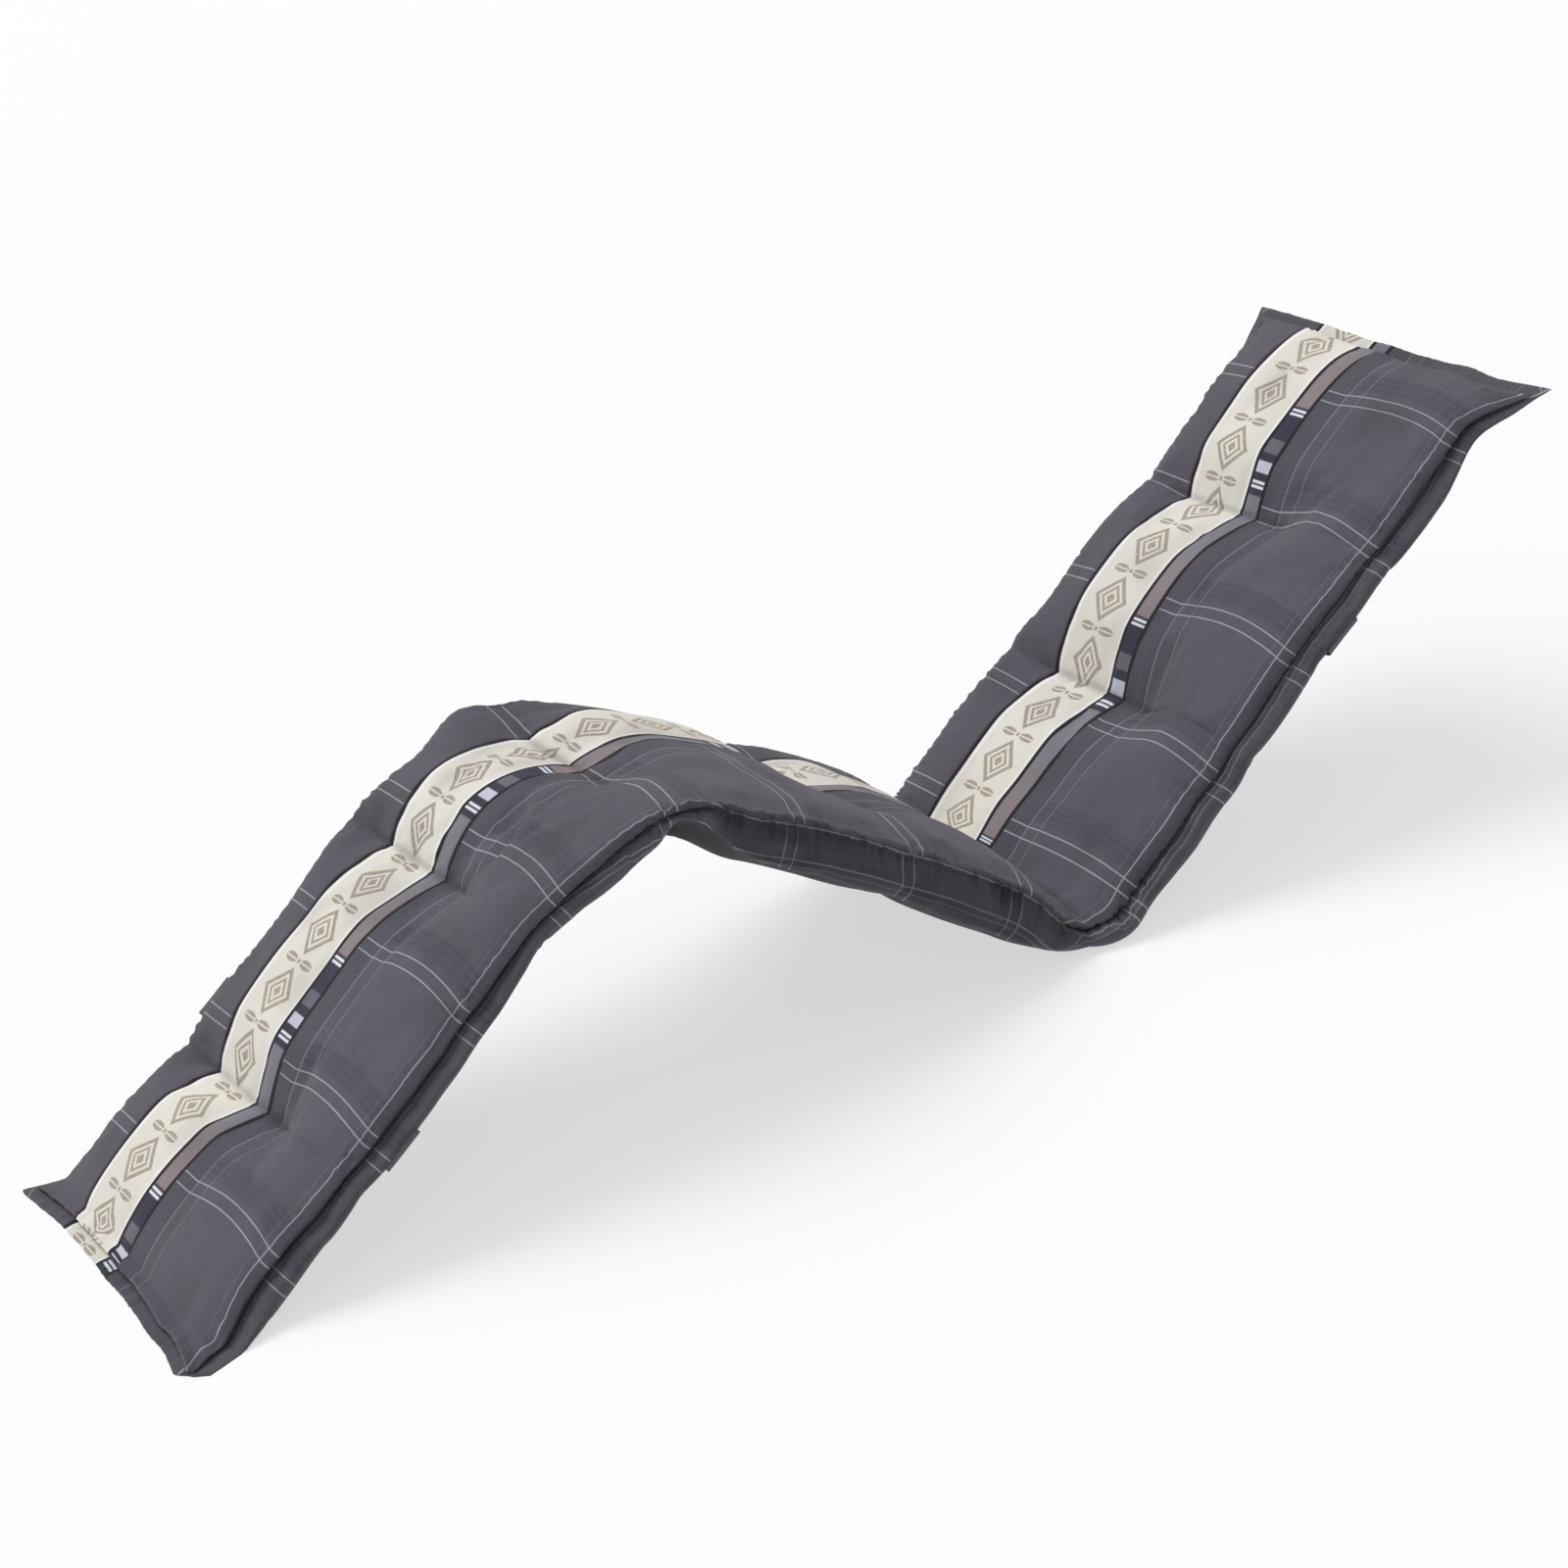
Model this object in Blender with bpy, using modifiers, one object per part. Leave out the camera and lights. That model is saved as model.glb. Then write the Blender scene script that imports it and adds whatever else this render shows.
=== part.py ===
# Sun lounger cushion: one filled pad bent as it lies on a lounger, foot at -Y, head at +Y.
# Metres, +Z up. The origin is on the floor, under the middle of the pad's box.
import math

import bmesh
import bpy
from mathutils import Vector

COLLECTION = "sun_lounger_cushion"

# Driving sizes of the pad
END_ROLL_OUT = 0.018         # how far the border puffs out past the seam at foot and head
END_LONGER = 0.022           # how far foot and head stick out past the bent line's ends
END_REACH = 0.100            # length of pad that is stretched for it
EAR_OUT = 0.028              # how far each pointed corner sticks out past the long edge
EAR_ALONG = 0.010            # how far it sticks out past the end's border
EAR_REACH = 0.075            # length of side that flares out into a corner
EAR_THICKNESS = 0.30         # share of the thickness left at a corner's tip
FLOOR = 0.001                # floor above the bent line's foot end: what is lower is pressed flat
PRESSED_THICKNESS = 0.011    # of the foot's border and corners where they lie on the floor
ROLL_LEVEL = 0.26            # share of the side's height that presses quite flat
FLAT_TOP = 2.6               # higher: the crown is flatter across its middle
SHOULDER_ROUND = 1.6         # higher: the crown falls more steeply at the long edges
END_LENGTH = 0.085           # length over which the filling thins out at foot and head
END_ROUND = 2.4              # higher: it stays full nearer to the end
END_THICKNESS = 0.45         # share of the side's thickness left at the very end

# The bent line of the pad seen from the side: heading of the fabric at each station.
# station: metres along the pad from the foot end, heading: degrees above level
BENDS = [
    {"station": 0.000, "heading": 31.0},
    {"station": 0.162, "heading": 30.0},
    {"station": 0.307, "heading": 34.5},
    {"station": 0.452, "heading": 31.5},
    {"station": 0.587, "heading": 9.0},
    {"station": 0.712, "heading": -28.5},
    {"station": 0.852, "heading": -35.5},
    {"station": 0.992, "heading": -39.5},
    {"station": 1.067, "heading": -49.5},
    {"station": 1.122, "heading": -13.5},
    {"station": 1.177, "heading": 32.5},
    {"station": 1.282, "heading": 35.0},
    {"station": 1.422, "heading": 37.0},
    {"station": 1.567, "heading": 30.5},
    {"station": 1.712, "heading": 35.0},
    {"station": 1.809, "heading": 33.5},
]

# Thickness along the pad, measured square to the bent line.
# shoulder, crown: top surface at its long edge and at its middle
# edge, belly: underside at its long edge and at its middle
# half: from the middle to the drawn-in seam, roll: how far the lower border puffs out past it
FILLING = [
    {"station": 0.000, "shoulder": 0.017, "crown": 0.027, "edge": 0.009, "belly": 0.022,
     "half": 0.204, "roll": 0.020},
    {"station": 0.330, "shoulder": 0.018, "crown": 0.030, "edge": 0.009, "belly": 0.026,
     "half": 0.204, "roll": 0.018},
    {"station": 0.500, "shoulder": 0.021, "crown": 0.031, "edge": 0.008, "belly": 0.024,
     "half": 0.203, "roll": 0.014},
    {"station": 0.635, "shoulder": 0.033, "crown": 0.032, "edge": 0.004, "belly": 0.014,
     "half": 0.198, "roll": 0.006},
    {"station": 0.720, "shoulder": 0.021, "crown": 0.036, "edge": 0.030, "belly": 0.031,
     "half": 0.203, "roll": 0.012},
    {"station": 0.860, "shoulder": 0.020, "crown": 0.038, "edge": 0.037, "belly": 0.038,
     "half": 0.205, "roll": 0.018},
    {"station": 1.020, "shoulder": 0.019, "crown": 0.036, "edge": 0.034, "belly": 0.034,
     "half": 0.205, "roll": 0.018},
    {"station": 1.122, "shoulder": 0.014, "crown": 0.026, "edge": 0.022, "belly": 0.028,
     "half": 0.203, "roll": 0.012},
    {"station": 1.210, "shoulder": 0.017, "crown": 0.029, "edge": 0.012, "belly": 0.028,
     "half": 0.204, "roll": 0.014},
    {"station": 1.480, "shoulder": 0.018, "crown": 0.030, "edge": 0.009, "belly": 0.026,
     "half": 0.204, "roll": 0.018},
    {"station": 1.809, "shoulder": 0.017, "crown": 0.026, "edge": 0.009, "belly": 0.022,
     "half": 0.204, "roll": 0.020},
]

# Sewn channels right across the pad.
# depth: drop of the top at the middle, side: share of it left at the long edge,
# under: lift of the underside, notch: how far the outline is drawn in
CHANNELS = [
    {"station": 0.184, "depth": 0.024, "side": 0.10, "under": 0.010, "notch": 0.004},
    {"station": 0.464, "depth": 0.022, "side": 0.10, "under": 0.010, "notch": 0.004},
    {"station": 0.633, "depth": 0.018, "side": 0.15, "under": 0.004, "notch": 0.006},
    {"station": 0.880, "depth": 0.020, "side": 0.10, "under": 0.010, "notch": 0.003},
    {"station": 1.122, "depth": 0.018, "side": 0.60, "under": 0.000, "notch": 0.006},
    {"station": 1.366, "depth": 0.023, "side": 0.10, "under": 0.010, "notch": 0.004},
    {"station": 1.604, "depth": 0.023, "side": 0.10, "under": 0.010, "notch": 0.005},
]
CHANNEL_FADE = 0.021         # a third of a channel's depth is left at this distance
CHANNEL_FULL = 0.45          # share of the half width where a channel has its full depth
CHANNEL_RAMP = 0.50          # share of the half width over which it fades to its side value
UNDER_FULL = 0.60            # the same on the underside, fading out at the long edge
ROWS_PER_PANEL = 9           # cross sections between two channels
COLUMNS = 14                 # faces across the top and across the underside

# The side between the top's shoulder and the underside's edge, from the top down.
# level: 1 at the shoulder, 0 at the underside's edge, out: share of the border's puff
SIDE_ROWS = [
    {"level": 1.00, "out": -0.20},
    {"level": 0.80, "out": 0.06},
    {"level": 0.60, "out": 0.00},
    {"level": 0.48, "out": 0.60},
    {"level": ROLL_LEVEL, "out": 1.00},
    {"level": 0.00, "out": 0.62},
]

# Fixing straps under the pad. The far end of each, at -X, is sewn into the side seam, the near
# end lower down, where the border turns under the pad.
# slack_far, slack_near: how far the strap stands off the border on either side
# near_rows: rows of STRAP_SIDE that its near end has, counted from the underside
STRAPS = [
    {"name": "leg_strap", "station": 0.238, "slack_far": 0.016, "slack_near": 0.000,
     "near_rows": 2},
    {"name": "back_strap", "station": 1.522, "slack_far": 0.004, "slack_near": 0.003,
     "near_rows": 3},
]
STRAP_WIDTH = 0.046
STRAP_THICKNESS = 0.0016
STRAP_CLEARANCE = 0.0026     # between the strap and the pad's underside
STRAP_BOTTOM_STEPS = 12
# The strap's way from the seam round the border, as shares of its puff and of the slack.
# level: share of the side's height, lift: metres above it
STRAP_SIDE = [
    {"puff": 0.10, "slack": 0.0, "level": 0.58, "lift": 0.0013},
    {"puff": 0.62, "slack": 0.2, "level": 0.48, "lift": 0.0030},
    {"puff": 1.00, "slack": 0.9, "level": 0.42, "lift": 0.0020},
    {"puff": 1.00, "slack": 1.0, "level": 0.20, "lift": -0.0010},
    {"puff": 0.80, "slack": 0.7, "level": 0.00, "lift": -0.0026},
]

FABRIC_GREY = (0.115, 0.109, 0.130, 1.0)
STRAP_GREY = (0.085, 0.080, 0.098, 1.0)

STEP = 0.001                 # step of the sum that walks along the bent line


def smooth(t):
    """An S-shaped ramp from 0 to 1."""
    t = min(max(t, 0.0), 1.0)
    return t * t * (3.0 - 2.0 * t)


def read_table(table, column, station):
    """The column's value at a station, eased between the rows."""
    if station <= table[0]["station"]:
        return table[0][column]
    for low, high in zip(table, table[1:]):
        if station <= high["station"]:
            share = (station - low["station"]) / (high["station"] - low["station"])
            return low[column] + (high[column] - low[column]) * smooth(share)
    return table[-1][column]


LENGTH = BENDS[-1]["station"]


def walk_bent_line():
    """Points of the bent line, one each STEP, as (y, z, heading)."""
    points = []
    y = 0.0
    z = 0.0
    for index in range(round(LENGTH / STEP) + 1):
        heading = math.radians(read_table(BENDS, "heading", index * STEP))
        points.append((y, z, heading))
        y += STEP * math.cos(heading)
        z += STEP * math.sin(heading)
    return points


LINE = walk_bent_line()


def carry(across, station, height):
    """A point of the flat pad carried onto the bent line."""
    place = station / STEP
    index = min(max(int(place), 0), len(LINE) - 2)
    share = place - index
    y0, z0, turn0 = LINE[index]
    y1, z1, turn1 = LINE[index + 1]
    turn = turn0 + (turn1 - turn0) * share
    y = y0 + (y1 - y0) * share - height * math.sin(turn)
    z = z0 + (z1 - z0) * share + height * math.cos(turn)
    return Vector((across, y, z))


def channel_pull(station, column):
    """The column's value in a channel's crease, dying out beside it."""
    return max(
        row[column] * math.exp(-abs(station - row["station"]) / CHANNEL_FADE)
        for row in CHANNELS
    )


def channel_reach(share, station):
    """How much of the channels' depth shows at this share of the half width."""
    nearest = min(CHANNELS, key=lambda row: abs(station - row["station"]))
    fade = smooth((abs(share) - CHANNEL_FULL) / CHANNEL_RAMP)
    return 1.0 - (1.0 - nearest["side"]) * fade


def crown(share):
    """Rise of the crown across the pad: 1 in the middle, 0 at the long edges."""
    return (1.0 - abs(share) ** FLAT_TOP) ** (1.0 / SHOULDER_ROUND)


def end_fall(station):
    """Filling near an end: 0 at the very end, 1 from a hand's breadth on."""
    from_end = min(station, LENGTH - station)
    return 1.0 - (1.0 - min(from_end / END_LENGTH, 1.0)) ** END_ROUND


def side_share(station):
    """Share of the side's thickness: a thin lip at an end, full away from it."""
    return END_THICKNESS + (1.0 - END_THICKNESS) * end_fall(station)


def half_width(station):
    return read_table(FILLING, "half", station) - channel_pull(station, "notch")


def corner(share, station):
    """1 at a corner's tip, 0 away from the four corners."""
    from_end = min(station, LENGTH - station)
    along = max(1.0 - from_end / EAR_REACH, 0.0)
    sideways = max(1.0 - (1.0 - abs(share)) * half_width(station) / EAR_REACH, 0.0)
    return (along * sideways) ** 2


def top_height(share, station):
    shoulder = read_table(FILLING, "shoulder", station)
    rise = read_table(FILLING, "crown", station) - shoulder
    height = shoulder * side_share(station) + rise * crown(share) * end_fall(station)
    return height - channel_pull(station, "depth") * channel_reach(share, station)


def under_height(share, station):
    edge = read_table(FILLING, "edge", station)
    drop = read_table(FILLING, "belly", station) - edge
    depth = edge * side_share(station) + drop * crown(share) * end_fall(station)
    fade = smooth((abs(share) - UNDER_FULL) / (1.0 - UNDER_FULL))
    return -depth + channel_pull(station, "under") * (1.0 - fade)


def panel_stations():
    """Cross sections from foot to head, closer together beside each channel."""
    ends = [0.0] + [row["station"] for row in CHANNELS] + [LENGTH]
    stations = []
    for start, stop in zip(ends, ends[1:]):
        for index in range(ROWS_PER_PANEL):
            share = 0.5 - 0.5 * math.cos(math.pi * index / ROWS_PER_PANEL)
            stations.append(start + (stop - start) * share)
    return stations + [LENGTH]


def column_share(index):
    """Columns across the pad from -1 to 1, closer together at the long edges."""
    return math.sin(math.pi / 2.0 * (2.0 * index / COLUMNS - 1.0))


def end_stretch(station):
    """How far the cloth at a station moves out towards its end of the pad."""
    from_end = min(station, LENGTH - station)
    return END_LONGER * max(1.0 - from_end / END_REACH, 0.0) ** 2


def pad_point(column, row, layer, stations):
    """One point of the box cage moved to its place on the pad."""
    share = column_share(column)
    station = stations[row]
    side = SIDE_ROWS[layer]
    puff = side["out"]
    end = 0.0
    if row == 0:
        end = -1.0
    elif row == len(stations) - 1:
        end = 1.0
    ear = corner(share, station)
    on_long_side = column in (0, COLUMNS)
    top = top_height(share, station)
    under = under_height(share, station)
    height = under + (top - under) * side["level"]
    height *= 1.0 - (1.0 - EAR_THICKNESS) * ear
    across = share * half_width(station)
    if on_long_side:
        roll = read_table(FILLING, "roll", station)
        across += math.copysign(roll * puff + EAR_OUT * ear, share)
    else:
        across += share * EAR_OUT * ear
    outward = END_ROLL_OUT * puff * abs(end) + end_stretch(station)
    outward += EAR_ALONG * ear * (1.0 if end else abs(share))
    along = station + math.copysign(outward, station - LENGTH / 2.0)
    return carry(across, along, height)


def fabric_material(name, colour):
    material = bpy.data.materials.new(name)
    material.use_nodes = True
    shader = material.node_tree.nodes["Principled BSDF"]
    shader.inputs["Base Color"].default_value = colour
    shader.inputs["Roughness"].default_value = 0.9
    shader.inputs["Metallic"].default_value = 0.0
    return material


def add_object(name, mesh, collection, material):
    thing = bpy.data.objects.new(name, mesh)
    mesh.materials.append(material)
    collection.objects.link(thing)
    return thing


def split_box(cage, cuts):
    """Cuts the cage's edges along X, Y and Z into the given numbers of pieces."""
    for axis, pieces in enumerate(cuts):
        edges = [
            edge for edge in cage.edges
            if abs((edge.verts[0].co - edge.verts[1].co)[axis]) > 1e-6
        ]
        bmesh.ops.subdivide_edges(cage, edges=edges, cuts=pieces - 1, use_grid_fill=True)


def make_pad(collection):
    """The filled pad: a box cut into a fine cage, each point moved by the functions above."""
    stations = panel_stations()
    counts = (COLUMNS, len(stations) - 1, len(SIDE_ROWS) - 1)
    cage = bmesh.new()
    bmesh.ops.create_cube(cage, size=2.0)
    split_box(cage, counts)
    level = cage.verts.layers.float.new("level")
    for vert in cage.verts:
        column, row, layer = (
            round((vert.co[axis] + 1.0) / 2.0 * counts[axis]) for axis in range(3)
        )
        vert[level] = SIDE_ROWS[counts[2] - layer]["level"]
        vert.co = pad_point(column, row, counts[2] - layer, stations)
    bmesh.ops.recalc_face_normals(cage, faces=cage.faces)
    mesh = bpy.data.meshes.new("cushion")
    cage.to_mesh(mesh)
    cage.free()
    mesh.shade_smooth()
    return add_object("cushion", mesh, collection, fabric_material("grey_fabric", FABRIC_GREY))


def strap_route(strap):
    """The strap's middle line round the underside, as (across, height) points."""
    station = strap["station"]
    half = half_width(station)
    roll = read_table(FILLING, "roll", station)
    edge = under_height(1.0, station)
    side_height = top_height(1.0, station) - edge
    ends = []
    for sign, slack, count in (
        (1.0, strap["slack_near"], strap["near_rows"]),
        (-1.0, strap["slack_far"], len(STRAP_SIDE)),
    ):
        ends.append([
            (sign * (half + roll * row["puff"] + slack * row["slack"]),
             edge + side_height * row["level"] + row["lift"])
            for row in STRAP_SIDE[-count:]
        ])
    bottom = []
    for index in range(1, STRAP_BOTTOM_STEPS):
        share = 1.0 - 2.0 * index / STRAP_BOTTOM_STEPS
        height = under_height(share, station) - STRAP_CLEARANCE
        bottom.append((share * half, height))
    return ends[0] + bottom + ends[1][::-1]


def make_strap(strap, collection, material):
    """A thin sheet swept along its route, given its thickness by Solidify."""
    route = strap_route(strap)
    cage = bmesh.new()
    bmesh.ops.create_grid(cage, x_segments=len(route) - 1, y_segments=2, size=1.0)
    for vert in cage.verts:
        index = round((vert.co.x + 1.0) / 2.0 * (len(route) - 1))
        across, height = route[index]
        vert.co = carry(across, strap["station"] + vert.co.y * STRAP_WIDTH / 2.0, height)
    bmesh.ops.recalc_face_normals(cage, faces=cage.faces)
    mesh = bpy.data.meshes.new(strap["name"])
    cage.to_mesh(mesh)
    cage.free()
    thing = add_object(strap["name"], mesh, collection, material)
    solid = thing.modifiers.new("thickness", "SOLIDIFY")
    solid.thickness = STRAP_THICKNESS
    solid.offset = 0.0
    return thing


def settle(things):
    """Sets the pad down on the floor, presses it flat there and centres its box."""
    pad = things[0].data
    ys = [vert.co.y for vert in pad.vertices]
    shift = Vector((0.0, -(min(ys) + max(ys)) / 2.0, -FLOOR))
    for thing in things:
        for vert in thing.data.vertices:
            vert.co += shift
    for vert, level in zip(pad.vertices, pad.attributes["level"].data):
        least = max(level.value - ROLL_LEVEL, 0.0) * PRESSED_THICKNESS
        vert.co.z = max(vert.co.z, least)


def main():
    for thing in list(bpy.data.objects):
        bpy.data.objects.remove(thing, do_unlink=True)
    collection = bpy.data.collections.new(COLLECTION)
    bpy.context.scene.collection.children.link(collection)
    things = [make_pad(collection)]
    strap_material = fabric_material("strap_fabric", STRAP_GREY)
    for strap in STRAPS:
        things.append(make_strap(strap, collection, strap_material))
    settle(things)


main()
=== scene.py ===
import math
import time

import bpy
import numpy as np
from mathutils import Matrix, Vector


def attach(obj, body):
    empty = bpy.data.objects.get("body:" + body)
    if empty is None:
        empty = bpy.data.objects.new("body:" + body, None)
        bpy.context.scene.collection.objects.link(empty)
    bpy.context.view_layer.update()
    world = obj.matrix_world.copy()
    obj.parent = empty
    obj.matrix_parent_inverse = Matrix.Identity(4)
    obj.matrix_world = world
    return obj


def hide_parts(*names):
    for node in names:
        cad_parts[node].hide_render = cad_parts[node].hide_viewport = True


startedAt = time.time()
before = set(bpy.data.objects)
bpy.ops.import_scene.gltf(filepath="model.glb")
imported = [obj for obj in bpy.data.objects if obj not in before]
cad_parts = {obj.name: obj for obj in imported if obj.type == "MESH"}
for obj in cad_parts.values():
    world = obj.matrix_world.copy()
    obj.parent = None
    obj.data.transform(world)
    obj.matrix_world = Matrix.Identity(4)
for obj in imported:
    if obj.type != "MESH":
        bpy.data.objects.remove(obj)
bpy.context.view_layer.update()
scene = bpy.context.scene


def report(words):
    print(f"[{time.time() - startedAt:6.1f} s] {words}")


# Camera, floor and light

view = {
    "place": (3.4681, -1.5596, 1.8098),
    "ahead": (-0.8408, 0.3768, -0.3887),
    "right": (0.4776, 0.8543, -0.2049),
    "lens": 94.5, "sensor": 36.0,      # millimetres
    "farthest": 60.0,
}

studio = {
    "floorReach": 14.0, "floorColour": (0.30, 0.30, 0.30), "floorRoughness": 0.7,
    "floorGlow": 0.62,                 # the floor gives part of its light by itself
    "sky": (1.0, 1.0, 1.0),
    "skyStrength": 0.50,
    "keyFrom": (-0.42, -0.16, 0.90),   # the key light's direction: the far side, and above
    "keyStrength": 2.07,
    "keySoftness": 42.0,               # its width in degrees
    "fillPlace": (2.4, -2.6, 2.6), "fillAim": (0.0, 0.0, 0.2), "fillSize": 2.0,
    "fillWatts": 6.0,
}


def putInScene(name, data):
    thing = bpy.data.objects.new(name, data)
    scene.collection.objects.link(thing)
    return thing


def makeCamera():
    camera = bpy.data.cameras.new("photoCamera")
    camera.sensor_width = view["sensor"]
    camera.lens = view["lens"]
    camera.clip_end = view["farthest"]
    holder = putInScene("photoCamera", camera)
    ahead = Vector(view["ahead"]).normalized()
    right = Vector(view["right"])
    right = (right - ahead * right.dot(ahead)).normalized()
    up = right.cross(ahead)
    turn = Matrix((right, up, -ahead)).transposed().to_4x4()
    turn.translation = Vector(view["place"])
    holder.matrix_world = turn
    scene.camera = holder


def makeStudio():
    world = bpy.data.worlds.new("studioSky")
    world.use_nodes = True
    sky = world.node_tree.nodes["Background"]
    sky.inputs["Color"].default_value = (*studio["sky"], 1.0)
    sky.inputs["Strength"].default_value = studio["skyStrength"]
    scene.world = world

    key = bpy.data.lights.new("keyLight", "SUN")
    key.energy = studio["keyStrength"]
    key.angle = math.radians(studio["keySoftness"])
    putInScene("keyLight", key).rotation_euler = Vector(studio["keyFrom"]).to_track_quat(
        "Z", "Y").to_euler()

    fill = bpy.data.lights.new("fillLight", "AREA")
    fill.shape = "DISK"
    fill.size = studio["fillSize"]
    fill.energy = studio["fillWatts"]
    holder = putInScene("fillLight", fill)
    holder.location = studio["fillPlace"]
    aim = Vector(studio["fillAim"]) - holder.location
    holder.rotation_euler = aim.to_track_quat("-Z", "Y").to_euler()

    mesh = bpy.data.meshes.new("floor")
    far = studio["floorReach"]
    mesh.from_pydata([(-far, -far, 0), (far, -far, 0), (far, far, 0), (-far, far, 0)],
                     [], [(0, 1, 2, 3)])
    paint = bpy.data.materials.new("paleFloor")
    paint.use_nodes = True
    shader = paint.node_tree.nodes["Principled BSDF"]
    shader.inputs["Base Color"].default_value = (*studio["floorColour"], 1.0)
    shader.inputs["Roughness"].default_value = studio["floorRoughness"]
    shader.inputs["Emission Color"].default_value = (*studio["sky"], 1.0)
    shader.inputs["Emission Strength"].default_value = studio["floorGlow"]
    mesh.materials.append(paint)
    putInScene("floor", mesh)
    scene.view_settings.view_transform = "Standard"


makeCamera()
makeStudio()
report("camera, floor and light")


# The pad's shape

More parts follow.
